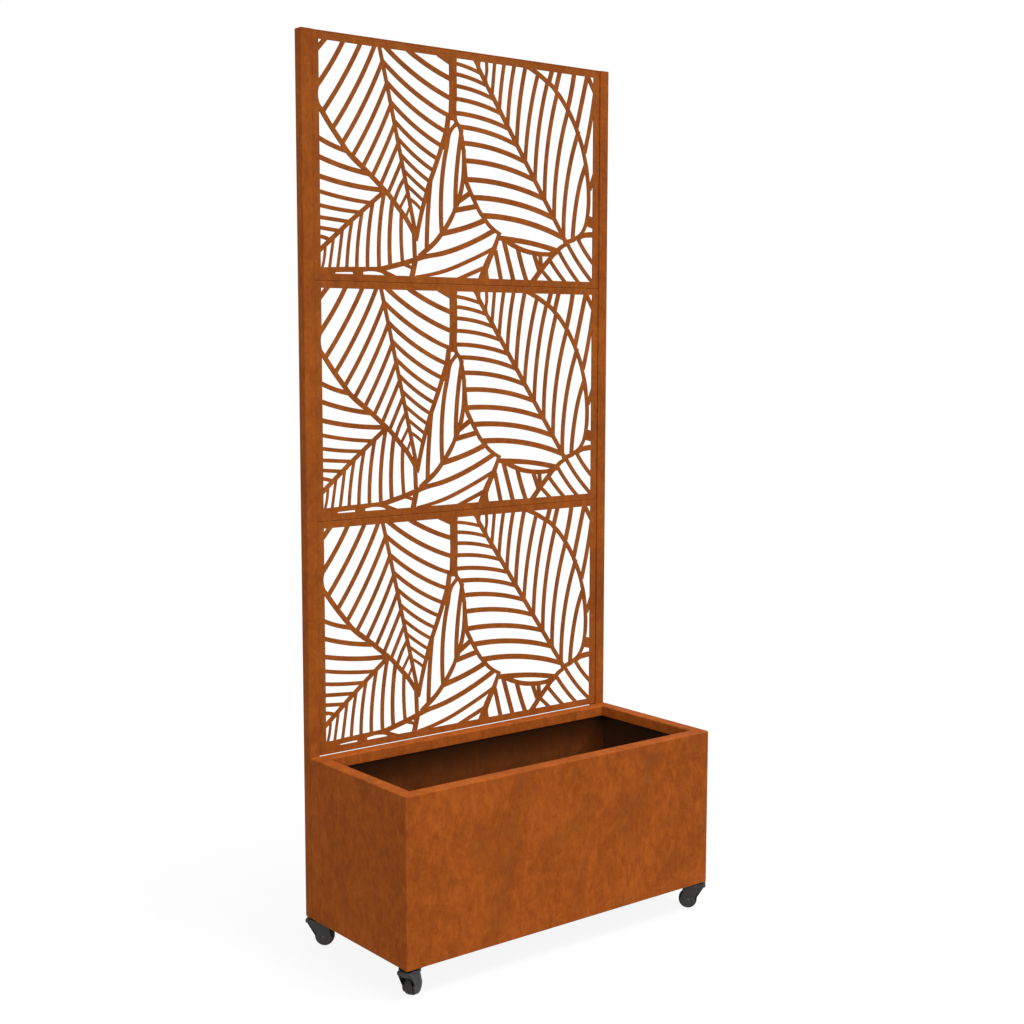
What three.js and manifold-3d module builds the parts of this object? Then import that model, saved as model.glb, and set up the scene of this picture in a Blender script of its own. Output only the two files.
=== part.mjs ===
// A rolling planter with a laser-cut privacy screen.
//
// A folded steel trough stands on four swivel casters. Two square posts are bolted to the back
// of the trough and carry three identical sheet panels, each cut with overlapping veined leaves.
//
// Millimetres, +Z up. The origin is on the floor under the middle of the planter: X runs along
// its length, and the screen stands at the +Y side.

import * as THREE from "three";
import { mergeVertices } from "three/addons/utils/BufferGeometryUtils.js";
import Module from "manifold-3d";

const wasm = await Module();
wasm.setup();

// ---------------------------------------------------------------- driving dimensions

// Trough, folded from weathering-steel sheet.
const TROUGH_LENGTH = 1000;
const TROUGH_DEPTH = 430;
const TROUGH_HEIGHT = 424;
const TROUGH_SHEET = 3;
const RIM_WIDTH = 36; // top edge folded inwards
const RIM_LIP = 28; // then folded down, measured from the rim's top
const DRAIN_HOLE_RADIUS = 7;
const DRAIN_HOLE_COUNT = 5;
const DRAIN_HOLE_END_GAP = 140; // from the trough's end to the first hole
const CORNER_GAP = 0.3; // between two walls at a mitred corner

// Posts, square steel tube, standing behind the trough.
const POST_SIZE = 30;
const POST_WALL = 2;
const POST_CAP_THICKNESS = 2;
const POST_CAP_PLUG_DEPTH = 12;
const POST_CAP_PLUG_CLEARANCE = 0.4;

// Screen panels, each one sheet with its four edges folded back.
const PANEL_COUNT = 3;
const PANEL_HEIGHT = 602;
const PANEL_SHEET = 3;
const PANEL_FOLD_DEPTH = 18; // from the panel's face to the back of its folded edges
const PANEL_RECESS = 4; // from the posts' front to the panel's face
const PANEL_DROP = 1; // of the lowest panel's bottom edge, behind and below the trough's rim
const PANEL_GAP = 0.3; // between one panel and the next
const PANEL_BORDER_SIDE = 22; // plain sheet beside the cut leaves
const PANEL_BORDER_END = 18; // plain sheet above and below them
const TOP_RAIL_THICKNESS = 3;

// Leaf pattern. Its points are [across, down] from a panel's top left corner, drawn on a sheet
// of this size, and stretched to the panel.
const DRAWING_WIDTH = 940;
const DRAWING_HEIGHT = 602;
const CURVE_TOLERANCE = 1.3; // how far a cut edge may stray from its curve
const CUT_STRAIGHTNESS = 0.12; // corners that stand out less than this from a cut edge are left out
const SHORTEST_CUT = 0.5;
const SMALLEST_OPENING = 30; // square millimetres; smaller gaps between strips stay closed

// Fasteners.
const PANEL_SCREW_RADIUS = 2.5;
const PANEL_SCREW_HEAD_RADIUS = 5;
const PANEL_SCREW_HEAD_HEIGHT = 3;
const PANEL_SCREW_LENGTH = 12;
const PANEL_SCREW_END_GAP = 95; // from the panel's top or bottom edge
const POST_BOLT_RADIUS = 4;
const POST_BOLT_HEAD_ACROSS = 13; // across the hexagon's flats
const POST_BOLT_HEAD_HEIGHT = 5.5;
const POST_BOLT_LENGTH = 16;
const POST_BOLT_RISE = 90; // lower bolt above the trough's bottom
const POST_BOLT_DROP = 150; // upper bolt below the trough's top
const POST_NUT_ACROSS = 14;
const POST_NUT_HEIGHT = 7;
const THREAD_CLEARANCE = 0.15; // between a shank and the nut or sheet that it is driven into
const HOLE_CLEARANCE = 0.4; // round a shank that passes through

// Casters.
const CASTER_HEIGHT = 75; // from the floor to the top of the mounting plate
const CASTER_INSET = 27; // of the swivel axis, from the planter's two outer faces
const PLATE_SIZE = 46;
const PLATE_THICKNESS = 3;
const PLATE_HOLE_RADIUS = 2.6;
const PLATE_HOLE_SPACING = 34;
const RACE_RADIUS = 17; // raised ring under the plate that the fork turns on
const RACE_HEIGHT = 1.2;
const SWIVEL_CLEARANCE = 0.4;
const CROWN_RADIUS = 27;
const CROWN_HEIGHT = 8;
const CROWN_NOSE_REACH = 36; // from the swivel axis
const CROWN_OVERHANG = 1; // of the nose, past the cheeks' outer faces
const CROWN_CORNER_RADIUS = 5;
const KINGPIN_RADIUS = 4;
const KINGPIN_HEAD_RADIUS = 6.5;
const KINGPIN_HEAD_HEIGHT = 3;
const KINGPIN_CLEARANCE = 0.6; // in the turning crown
const CHEEK_THICKNESS = 4.5;
const CHEEK_RADIUS = 20.5; // round the axle
const CHEEK_BACK_REACH = 20; // of its root, behind the swivel axis
const CHEEK_FRONT_REACH = 31; // and in front of it
const CHEEK_NECK_ANGLE = 22; // degrees above the axle where the front edge runs into the disc
const GUARD_THICKNESS = 3; // web that joins the cheeks over the wheel's outer side
const GUARD_DROP = 12; // below the crown
const GUARD_INSET = 0.5; // behind the cheeks' front edges
const TRAIL = 12; // wheel axle behind the swivel axis
const WHEEL_RADIUS = 25;
const WHEEL_WIDTH = 22;
const WHEEL_SIDE_CLEARANCE = 1.5; // to each cheek
const TYRE_THICKNESS = 6;
const TYRE_SHOULDER = 4; // height and width of the tyre's rounded shoulder
const WHEEL_WEB_RECESS = 4; // the wheel's face set in from its rim
const WHEEL_RIM_WALL = 4;
const WHEEL_RIM_SETBACK = 1; // of the rim from the tyre's face
const HUB_RADIUS = 8;
const AXLE_RADIUS = 3;
const AXLE_CLEARANCE = 0.4; // in the turning hub
const AXLE_HEAD_RADIUS = 5;
const AXLE_HEAD_HEIGHT = 1.6;
const FIT_CLEARANCE = 0.1; // round a pin that is fixed in its plate or cheek

// How finely round things are faceted.
const TYRE_SIDES = 20; // of the tyre and of the core inside it
const RACE_SIDES = 16;
const PIN_SIDES = 12;
const SCREW_SIDES = 8;
const ARC_STEPS = 4; // in a corner of an outline
const THROUGH = 2; // how far a cutter runs past the sheet that it cuts
const ROOT = 1; // how deep a piece of a solid is sunk into the piece that it grows from

// ---------------------------------------------------------------- derived levels and places

const PANEL_WIDTH = TROUGH_LENGTH - 2 * POST_SIZE;
const OVERALL_DEPTH = TROUGH_DEPTH + POST_SIZE;

const TROUGH_BOTTOM = CASTER_HEIGHT;
const TROUGH_TOP = TROUGH_BOTTOM + TROUGH_HEIGHT;
const PANEL_PITCH = PANEL_HEIGHT + PANEL_GAP;
const SCREEN_TOP = TROUGH_TOP - PANEL_DROP + PANEL_COUNT * PANEL_PITCH - PANEL_GAP;
const FRAME_TOP = SCREEN_TOP + TOP_RAIL_THICKNESS;

const FRONT_Y = -OVERALL_DEPTH / 2;
const POST_FRONT_Y = FRONT_Y + TROUGH_DEPTH;
const POST_BACK_Y = POST_FRONT_Y + POST_SIZE;
const PANEL_FACE_Y = POST_FRONT_Y + PANEL_RECESS;
const END_X = TROUGH_LENGTH / 2;
const POST_X = END_X - POST_SIZE / 2;

const SIDES = { left: -1, right: 1 };

// ---------------------------------------------------------------- materials

const finish = (color, roughness, metalness) =>
  new THREE.MeshStandardMaterial({ color, roughness, metalness });

const weatheringSteel = () => finish(0x9b501e, 0.85, 0.1);
const screenSteel = () => finish(0x8c4820, 0.85, 0.1);
const zincSteel = () => finish(0xa6a8a8, 0.4, 0.9);
const casterSteel = () => finish(0x3a3836, 0.5, 0.4);
const wheelPlastic = () => finish(0x2b2a2a, 0.6, 0);
const tyreRubber = () => finish(0x232222, 0.8, 0);

// ---------------------------------------------------------------- solids

// A closed three.js geometry as a solid that can be joined and cut.
function solid(geometry) {
  const bare = geometry.clone();
  bare.deleteAttribute("normal");
  bare.deleteAttribute("uv");
  const merged = mergeVertices(bare, 1e-4);
  return new wasm.Manifold(
    new wasm.Mesh({
      numProp: 3,
      vertProperties: merged.attributes.position.array,
      triVerts: new Uint32Array(merged.index.array),
    }),
  );
}

// A solid's surface as a three.js geometry with flat faces.
function surface(body) {
  const { vertProperties, triVerts } = body.getMesh();
  const indexed = new THREE.BufferGeometry();
  indexed.setAttribute("position", new THREE.BufferAttribute(new Float32Array(vertProperties), 3));
  indexed.setIndex(new THREE.BufferAttribute(new Uint32Array(triVerts), 1));
  const faceted = indexed.toNonIndexed();
  faceted.computeVertexNormals();
  return faceted;
}

const join = (bodies) => bodies.reduce((whole, body) => whole.add(body));
const cut = (body, cutters) => cutters.reduce((rest, cutter) => rest.subtract(cutter), body);

// A box between two corners.
function block([x0, y0, z0], [x1, y1, z1]) {
  const geometry = new THREE.BoxGeometry(x1 - x0, y1 - y0, z1 - z0);
  geometry.translate((x0 + x1) / 2, (y0 + y1) / 2, (z0 + z1) / 2);
  return solid(geometry);
}

// An outline of [x, y] points raised from one height to another.
function prism(points, z0, z1) {
  const shape = new THREE.Shape(points.map(([x, y]) => new THREE.Vector2(x, y)));
  const geometry = new THREE.ExtrudeGeometry(shape, { depth: z1 - z0, bevelEnabled: false });
  geometry.translate(0, 0, z0);
  return solid(geometry);
}

// Lays a solid's own +Z along one of the directions below.
const TURN_TO = {
  "+X": [0, 90, 0],
  "-X": [0, -90, 0],
  "+Y": [-90, 0, 0],
  "-Y": [90, 0, 0],
};
const turned = (body, direction) => body.rotate(TURN_TO[direction]);

// A round bar of one radius standing on z0, with a corner of its facets on +X.
function bar(radius, z0, z1, sides = PIN_SIDES) {
  const geometry = new THREE.CylinderGeometry(radius, radius, z1 - z0, sides, 1, false, Math.PI / 2);
  geometry.rotateX(Math.PI / 2);
  geometry.translate(0, 0, (z0 + z1) / 2);
  return solid(geometry);
}

// A profile of [radius, z] points turned about Z.
function turnedProfile(points, sides) {
  const profile = points.map(([radius, z]) => new THREE.Vector2(radius, z));
  const geometry = new THREE.LatheGeometry(profile, sides);
  geometry.rotateX(Math.PI / 2);
  return solid(geometry);
}

// Points on an arc, from one angle to another, in radians.
function arc([cx, cy], radius, from, to, steps = ARC_STEPS) {
  return Array.from({ length: steps + 1 }, (_, i) => {
    const angle = from + ((to - from) * i) / steps;
    return [cx + radius * Math.cos(angle), cy + radius * Math.sin(angle)];
  });
}

// The corners of a hexagon of a given size across its flats.
const hexagon = (across) =>
  arc([0, 0], across / Math.sqrt(3), 0, (Math.PI * 5) / 3, 5);

function part(name, body, material, parent) {
  const mesh = new THREE.Mesh(surface(body), material);
  mesh.name = name;
  parent.add(mesh);
  return mesh;
}

// ---------------------------------------------------------------- trough

// The trough's four walls seen from above. Each maps a distance along the wall from its middle,
// and a distance inwards from its outer face, to a point on the plan.
const TROUGH_MIDDLE_Y = FRONT_Y + TROUGH_DEPTH / 2;
const WALLS = {
  front: {
    length: TROUGH_LENGTH,
    plan: (along, inwards) => [along, FRONT_Y + inwards],
  },
  right: {
    length: TROUGH_DEPTH,
    plan: (along, inwards) => [END_X - inwards, TROUGH_MIDDLE_Y + along],
  },
  back: {
    length: TROUGH_LENGTH,
    plan: (along, inwards) => [-along, POST_FRONT_Y - inwards],
  },
  left: {
    length: TROUGH_DEPTH,
    plan: (along, inwards) => [-END_X + inwards, TROUGH_MIDDLE_Y - along],
  },
};

// A wall with its rim folded in and its lip folded down: one sheet's profile, as [inwards, up],
// carried along the wall and mitred at both ends, a little short of the neighbouring walls.
function troughWall(side) {
  const { length, plan } = WALLS[side];
  const rimBottom = TROUGH_TOP - TROUGH_SHEET;
  const lipBottom = TROUGH_TOP - RIM_LIP;
  const lipOuter = RIM_WIDTH - TROUGH_SHEET;
  const profile = [
    [0, TROUGH_BOTTOM],
    [TROUGH_SHEET, TROUGH_BOTTOM],
    [TROUGH_SHEET, rimBottom],
    [lipOuter, rimBottom],
    [lipOuter, lipBottom],
    [RIM_WIDTH, lipBottom],
    [RIM_WIDTH, TROUGH_TOP],
    [0, TROUGH_TOP],
  ];
  const ends = [-1, 1].map((end) =>
    profile.flatMap(([inwards, z]) => [
      ...plan(end * (length / 2 - inwards - CORNER_GAP / Math.SQRT2), inwards),
      z,
    ]),
  );
  const count = profile.length;
  const outline = profile.map(([inwards, z]) => new THREE.Vector2(inwards, z));
  const cap = THREE.ShapeUtils.triangulateShape(outline, []);
  const sides = profile.flatMap((_, i) => {
    const next = (i + 1) % count;
    return [i, next, count + i, next, count + next, count + i];
  });
  const nearCap = cap.flatMap(([i, j, k]) => [k, j, i]);
  const farCap = cap.flatMap(([i, j, k]) => [count + i, count + j, count + k]);
  const geometry = new THREE.BufferGeometry();
  geometry.setAttribute("position", new THREE.Float32BufferAttribute(ends.flat(), 3));
  geometry.setIndex([...sides, ...nearCap, ...farCap]);
  return solid(geometry);
}

// The floor lies between the walls, with a row of drain holes along its middle.
function troughFloor() {
  const floor = block(
    [-END_X + TROUGH_SHEET, FRONT_Y + TROUGH_SHEET, TROUGH_BOTTOM],
    [END_X - TROUGH_SHEET, POST_FRONT_Y - TROUGH_SHEET, TROUGH_BOTTOM + TROUGH_SHEET],
  );
  const firstX = -END_X + DRAIN_HOLE_END_GAP;
  const spacing = (TROUGH_LENGTH - 2 * DRAIN_HOLE_END_GAP) / (DRAIN_HOLE_COUNT - 1);
  const holes = Array.from({ length: DRAIN_HOLE_COUNT }, (_, i) =>
    bar(DRAIN_HOLE_RADIUS, TROUGH_BOTTOM - THROUGH, TROUGH_BOTTOM + TROUGH_SHEET + THROUGH).translate([
      firstX + i * spacing,
      TROUGH_MIDDLE_Y,
      0,
    ]),
  );
  return cut(floor, holes);
}

// ---------------------------------------------------------------- posts and their fasteners

const POST_TOP = FRAME_TOP - POST_CAP_THICKNESS;
const POST_BOLT_LEVELS = {
  lower: TROUGH_BOTTOM + POST_BOLT_RISE,
  upper: TROUGH_TOP - POST_BOLT_DROP,
};
const PANEL_SCREW_Y = PANEL_FACE_Y + (PANEL_SHEET + PANEL_FOLD_DEPTH) / 2;

const panelBottom = (index) => TROUGH_TOP - PANEL_DROP + index * PANEL_PITCH;

// The heights of the screws in one panel's folded edge, from that panel's own bottom.
const PANEL_SCREW_LEVELS = [PANEL_SCREW_END_GAP, PANEL_HEIGHT - PANEL_SCREW_END_GAP];

// A cutter along Y for the post bolts, through the trough's back wall and the post's front wall.
function postBoltHole(side, level, radius) {
  const length = TROUGH_SHEET + POST_WALL + 2 * THROUGH;
  return turned(bar(radius, 0, length), "+Y").translate([
    side * POST_X,
    POST_FRONT_Y - TROUGH_SHEET - THROUGH,
    level,
  ]);
}

const postBoltHoles = (side) =>
  Object.values(POST_BOLT_LEVELS).map((level) =>
    postBoltHole(side, level, POST_BOLT_RADIUS + HOLE_CLEARANCE),
  );

// A square tube, open at both ends, drilled for the bolts and the panel screws.
function post(side) {
  const half = POST_SIZE / 2;
  const bore = half - POST_WALL;
  const middleY = POST_FRONT_Y + half;
  const tube = block([-half, -half, TROUGH_BOTTOM], [half, half, POST_TOP])
    .subtract(block([-bore, -bore, TROUGH_BOTTOM - THROUGH], [bore, bore, POST_TOP + THROUGH]))
    .translate([side * POST_X, middleY, 0]);
  const innerFaceX = side * (END_X - POST_SIZE);
  const screwHole = turned(
    bar(PANEL_SCREW_RADIUS + THREAD_CLEARANCE, -THROUGH, POST_WALL + THROUGH),
    side > 0 ? "+X" : "-X",
  );
  const screwHoles = Array.from({ length: PANEL_COUNT }, (_, index) =>
    PANEL_SCREW_LEVELS.map((level) =>
      screwHole.translate([innerFaceX, PANEL_SCREW_Y, panelBottom(index) + level]),
    ),
  ).flat();
  return cut(tube, [...postBoltHoles(side), ...screwHoles]);
}

// A flat cap with a plug that fits inside the tube.
function postCap(side) {
  const half = POST_SIZE / 2;
  const plug = half - POST_WALL - POST_CAP_PLUG_CLEARANCE;
  return block([-half, -half, POST_TOP], [half, half, FRAME_TOP])
    .add(block([-plug, -plug, POST_TOP - POST_CAP_PLUG_DEPTH], [plug, plug, POST_TOP + ROOT]))
    .translate([side * POST_X, POST_FRONT_Y + half, 0]);
}

// A hexagon-head bolt from inside the trough into the post.
function postBolt() {
  const head = prism(hexagon(POST_BOLT_HEAD_ACROSS), -POST_BOLT_HEAD_HEIGHT, 0);
  return turned(head.add(bar(POST_BOLT_RADIUS, -ROOT, POST_BOLT_LENGTH)), "+Y");
}

// The threaded insert inside the post that the bolt is driven into.
function postNut() {
  const nut = prism(hexagon(POST_NUT_ACROSS), 0, POST_NUT_HEIGHT);
  const bore = bar(POST_BOLT_RADIUS + THREAD_CLEARANCE, -THROUGH, POST_NUT_HEIGHT + THROUGH);
  return turned(nut.subtract(bore), "+Y");
}

// A button-head screw that runs along +X, with the underside of its head at the origin.
function panelScrew() {
  const crown = PANEL_SCREW_HEAD_RADIUS * 0.6;
  const profile = [
    [0, -PANEL_SCREW_HEAD_HEIGHT],
    [crown, -PANEL_SCREW_HEAD_HEIGHT],
    [PANEL_SCREW_HEAD_RADIUS, -PANEL_SCREW_HEAD_HEIGHT / 3],
    [PANEL_SCREW_HEAD_RADIUS, 0],
    [PANEL_SCREW_RADIUS, 0],
    [PANEL_SCREW_RADIUS, PANEL_SCREW_LENGTH],
    [0, PANEL_SCREW_LENGTH],
  ];
  return turned(turnedProfile(profile, SCREW_SIDES), "+X");
}

// ---------------------------------------------------------------- leaf pattern

// A point of the drawing on the panel, from the panel's bottom middle: across, and up.
function onSheet([across, down]) {
  return new THREE.Vector2(
    (across / DRAWING_WIDTH - 0.5) * PANEL_WIDTH,
    (1 - down / DRAWING_HEIGHT) * PANEL_HEIGHT,
  );
}

// A smooth line through points of the drawing.
const line = (...points) => new THREE.SplineCurve(points.map(onSheet));

// How many straight steps keep a curve within the tolerance: a step of length s that turns by
// an angle a strays by s * a / 8.
function stepsFor(curve) {
  const samples = 24;
  let turn = 0;
  for (let i = 1; i <= samples; i += 1) {
    const before = curve.getTangent((i - 1) / samples);
    const after = curve.getTangent(i / samples);
    turn += Math.abs(before.cross(after));
  }
  return Math.max(1, Math.ceil(Math.sqrt((curve.getLength() * turn) / (8 * CURVE_TOLERANCE))));
}

// A strip of sheet along a curve. Its edges run half its width to either side, and its width
// changes evenly from one end to the other.
function strip(curve, startWidth, endWidth = startWidth) {
  const steps = stepsFor(curve);
  const left = [];
  const right = [];
  for (let i = 0; i <= steps; i += 1) {
    const t = i / steps;
    const { x, y } = curve.getPoint(t);
    const tangent = curve.getTangent(t);
    const half = (startWidth + (endWidth - startWidth) * t) / 2;
    left.push([x - tangent.y * half, y + tangent.x * half]);
    right.push([x + tangent.y * half, y - tangent.x * half]);
  }
  return prism([...right, ...left.reverse()], 0, 3 * THROUGH);
}

// A fan of veins. Their roots share out a stretch of one curve and their tips a stretch of
// another, both given as shares of the curve's length; crowd draws them together towards the
// end of the stretch, and bow is how far a vein bends off the straight. Where a value has two
// numbers, the first vein takes the first and the last vein the second.
function veins({ count, roots, tips, bow, width }) {
  const along = ({ curve, from, to, crowd = 0 }, s) =>
    curve.getPointAt(THREE.MathUtils.clamp(from + (to - from) * (s + crowd * s * (1 - s)), 0, 1));
  return Array.from({ length: count }, (_, i) => {
    const s = i / (count - 1);
    const root = along(roots, s);
    const tip = along(tips, s);
    const run = tip.clone().sub(root);
    const aside = new THREE.Vector2(run.y, -run.x).normalize();
    const bend = THREE.MathUtils.lerp(...bow, s);
    const middle = root.clone().add(tip).multiplyScalar(0.5).addScaledVector(aside, 2 * bend);
    return strip(
      new THREE.QuadraticBezierCurve(root, middle, tip),
      THREE.MathUtils.lerp(...width, s),
    );
  });
}

// The ribs and outlines that more than one fan springs from or ends on.
const upperRib = line([149, -193], [186, -49], [221, 98], [268, 297], [310, 478]);
const upperEdge = line([-42, 94], [29, 186], [94, 273], [179, 341], [258, 411], [314, 489]);
const stemEdge = line(
  [435, -24], [428, 86], [416, 184], [381, 272],
  [359, 342], [324, 423], [302, 534],
);
const lowerRib = line([220, 368], [140, 429], [75, 481], [5, 540]);
const lowerEdge = line(
  [-6, 578], [91, 573], [197, 570], [272, 552], [336, 533], [400, 521], [479, 495], [565, 456],
);
const broadRib = line([489, -6], [509, 29], [561, 104], [638, 215], [735, 355], [820, 477]);
const broadInner = line(
  [428, -3], [433, 94], [435, 168], [451, 193], [460, 227], [467, 275],
  [472, 331], [502, 384], [537, 433], [588, 466],
);
const broadCrown = line(
  [528, 7], [599, 12], [667, 8], [746, 39], [798, 93], [855, 151], [886, 245], [900, 333],
);
const cornerRib = line([713, 552], [767, 516], [806, 495], [817, 471], [862, 455]);
const leftBorder = line([13, -2], [11, DRAWING_HEIGHT]);

// The large leaf at the upper left, hanging from the top edge to a point at the lower middle.
function upperLeaf() {
  return [
    strip(upperRib, 9.9, 10.5),
    strip(upperEdge, 12.6),
    strip(line([10, 52], [52, 4]), 12),
    ...veins({
      count: 10,
      roots: { curve: upperRib, from: 0.104, to: 0.786, crowd: 0.22 },
      tips: { curve: upperEdge, from: 0.135, to: 0.782, crowd: 0.35 },
      bow: [-9.8, 2.6],
      width: [11.5, 9.2],
    }),
    strip(line([262, 410], [283, 375]), 7.2),
    strip(line([280, 432], [290, 410]), 6.1),
    ...veins({
      count: 12,
      roots: { curve: upperRib, from: 0.121, to: 0.863, crowd: 0.28 },
      tips: { curve: stemEdge, from: 0.084, to: 0.786, crowd: 0.42 },
      bow: [15.4, -1.7],
      width: [13.1, 7.8],
    }),
  ];
}

// The stem in the middle of the top edge, which widens at the border and runs on as the upper
// leaf's right-hand outline.
function stem() {
  return [
    strip(line([384, 8], [438, 32]), 25.2),
    strip(line([429, -4], [430, 112], [427, 178]), 23.4),
    strip(line([416, 160], [413, 185], [409, 210], [402, 255]), 13, 18),
    strip(
      line(
        [412, 196], [397, 241], [374, 293], [351, 350],
        [334, 400], [324, 436], [310, 493],
      ),
      12.6, 11.8,
    ),
    strip(line([304, 478], [306, 535]), 11.6),
    strip(line([311, 530], [296, 590]), 14.9),
  ];
}

// The leaf at the lower left, whose outline runs on to the right as the first blade of the
// lower middle leaf.
function lowerLeaf() {
  return [
    strip(lowerRib, 11.6),
    strip(lowerEdge, 13.5),
    ...veins({
      count: 3,
      roots: { curve: leftBorder, from: 0.42, to: 0.576, crowd: -0.03 },
      tips: { curve: upperEdge, from: 0.443, to: 0.712, crowd: 0.35 },
      bow: [2.9, 5.2],
      width: [11.7, 12.4],
    }),
    ...veins({
      count: 5,
      roots: { curve: leftBorder, from: 0.637, to: 0.819, crowd: 0.32 },
      tips: { curve: lowerRib, from: 0.22, to: 0.784, crowd: 0.09 },
      bow: [3, -1.4],
      width: [10, 9.6],
    }),
    ...veins({
      count: 7,
      roots: { curve: lowerRib, from: 0.848, to: 0.032, crowd: -0.19 },
      tips: { curve: lowerEdge, from: 0.054, to: 0.342, crowd: -0.3 },
      bow: [-2, 7],
      width: [6.4, 10.3],
    }),
    ...veins({
      count: 2,
      roots: { curve: upperEdge, from: 0.767, to: 0.841 },
      tips: { curve: lowerEdge, from: 0.4, to: 0.468 },
      bow: [5.2, 2.8],
      width: [10.8, 9.4],
    }),
    strip(line([9, 576], [64, 579]), 11.3),
    strip(line([118, 585], [146, 578]), 11.4),
    strip(line([196, 571], [243, 589]), 12.4),
    strip(line([268, 553], [298, 563]), 9),
  ];
}

// The narrow upright leaf in the middle, with the half-hidden blades at either side of it.
function uprightLeaf() {
  return [
    strip(
      line(
        [441, 185], [419, 208], [410, 245], [401, 284],
        [393, 340], [390, 397], [391, 451], [393, 473],
      ),
      11.8,
    ),
    strip(
      line(
        [458, 199], [451, 242], [445, 278], [438, 351], [437, 403],
        [421, 433], [399, 464], [369, 496], [320, 533],
      ),
      11.5, 12.9,
    ),
    strip(line([357, 335], [348, 425], [344, 510]), 11.8),
    strip(line([465, 250], [463, 320], [455, 360], [441, 397]), 11.6, 12.7),
    strip(line([444, 387], [458, 377], [483, 363]), 13.6),
    strip(line([431, 410], [471, 403], [511, 394]), 14.1),
  ];
}

// The broad leaf that fills the right half, with its veins rising to a round crown.
function broadLeaf() {
  return [
    strip(broadRib, 12.4),
    strip(broadInner, 11),
    strip(
      line(
        [661, 5], [750, 45], [803, 90], [849, 152], [885, 234],
        [902, 331], [896, 415], [868, 459], [811, 479],
      ),
      12.3,
    ),
    strip(line([516, 2], [513, 47]), 10),
    ...veins({
      count: 11,
      roots: { curve: broadRib, from: 0.108, to: 0.976, crowd: -0.31 },
      tips: { curve: broadInner, from: 0.063, to: 0.846, crowd: -0.37 },
      bow: [2, 13.8],
      width: [9.4, 14.7],
    }),
    ...veins({
      count: 5,
      roots: { curve: broadRib, from: 0.155, to: 0.47, crowd: -0.27 },
      tips: { curve: broadCrown, from: 0.021, to: 0.257, crowd: -0.21 },
      bow: [2.2, -5.7],
      width: [8.6, 12],
    }),
    ...veins({
      count: 5,
      roots: { curve: broadRib, from: 0.559, to: 0.971 },
      tips: { curve: broadCrown, from: 0.338, to: 0.704, crowd: -0.35 },
      bow: [-7.4, -14.9],
      width: [11.4, 12.5],
    }),
    strip(line([844, 465], [860, 346], [891, 259]), 12.7),
    strip(line([581, 474], [658, 480], [728, 489], [798, 503]), 13.9),
    strip(line([595, 474], [641, 496], [691, 509], [754, 513], [796, 502]), 13.4),
  ];
}

// What shows of the leaves behind the broad one, along the right-hand border.
function hiddenLeaves() {
  return [
    strip(line([767, 12], [754, 52]), 13.8),
    strip(line([794, 15], [779, 67]), 13.7),
    strip(line([847, 10], [837, 60], [824, 109]), 13.9),
    strip(line([895, 12], [878, 81], [856, 161]), 13.6),
    strip(line([922, 62], [908, 139], [886, 228]), 12.2),
    strip(line([893, 12], [928, 67]), 13.1),
    strip(line([906, 328], [924, 281]), 11.6),
    strip(line([899, 414], [926, 421]), 30.3),
    strip(line([866, 463], [885, 454], [942, 451]), 15.7),
  ];
}

// The blades that rise to the right in the lower middle, and the stalk that they meet.
function lowerBlades() {
  return [
    strip(line([391, 472], [443, 460], [501, 443], [535, 430]), 14),
    strip(line([310, 587], [401, 568], [484, 538], [574, 499]), 10.4),
    strip(line([441, 590], [488, 573], [546, 550]), 11.1),
    strip(line([583, 463], [570, 495], [542, 545], [521, 592]), 9, 22),
    strip(line([537, 546], [543, 586]), 12),
  ];
}

// The two leaves at the lower right.
function cornerLeaves() {
  const lastTips = line([762, 609], [897, 591], [953, 559]);
  return [
    strip(line([570, 507], [578, 541], [591, 591]), 12.2),
    strip(line([596, 471], [609, 514], [636, 598]), 13),
    strip(line([648, 501], [658, 534], [680, 592]), 13),
    strip(line([702, 507], [725, 562]), 12.7),
    strip(line([726, 508], [730, 549]), 12.4),
    strip(line([698, 591], [729, 556], [761, 525], [800, 492], [818, 483]), 15.6, 11.1),
    ...veins({
      count: 5,
      roots: { curve: cornerRib, from: 0.053, to: 0.973 },
      tips: { curve: lastTips, from: 0.132, to: 1 },
      bow: [0.1, 6],
      width: [10.4, 11],
    }),
  ];
}

// ---------------------------------------------------------------- screen panel

// The outlines of the upper face of a flat-topped solid, each a list of [x, y] points.
function topOutlines(body, top) {
  const { numProp, vertProperties, triVerts } = body.getMesh();
  const isTop = (i) => Math.abs(vertProperties[i * numProp + 2] - top) < SHORTEST_CUT;
  const edges = new Map();
  for (let t = 0; t < triVerts.length; t += 3) {
    const corners = [...triVerts.slice(t, t + 3)];
    if (corners.every(isTop)) {
      corners.forEach((from, i) => edges.set(`${from}>${corners[(i + 1) % 3]}`, from));
    }
  }
  const next = new Map();
  for (const [edge, from] of edges) {
    const to = Number(edge.split(">")[1]);
    if (!edges.has(`${to}>${from}`)) next.set(from, to);
  }
  const found = [];
  while (next.size > 0) {
    const loop = [];
    let [at] = next.keys();
    while (next.has(at)) {
      loop.push([vertProperties[at * numProp], vertProperties[at * numProp + 1]]);
      const to = next.get(at);
      next.delete(at);
      at = to;
    }
    found.push(loop);
  }
  return found;
}

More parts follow.
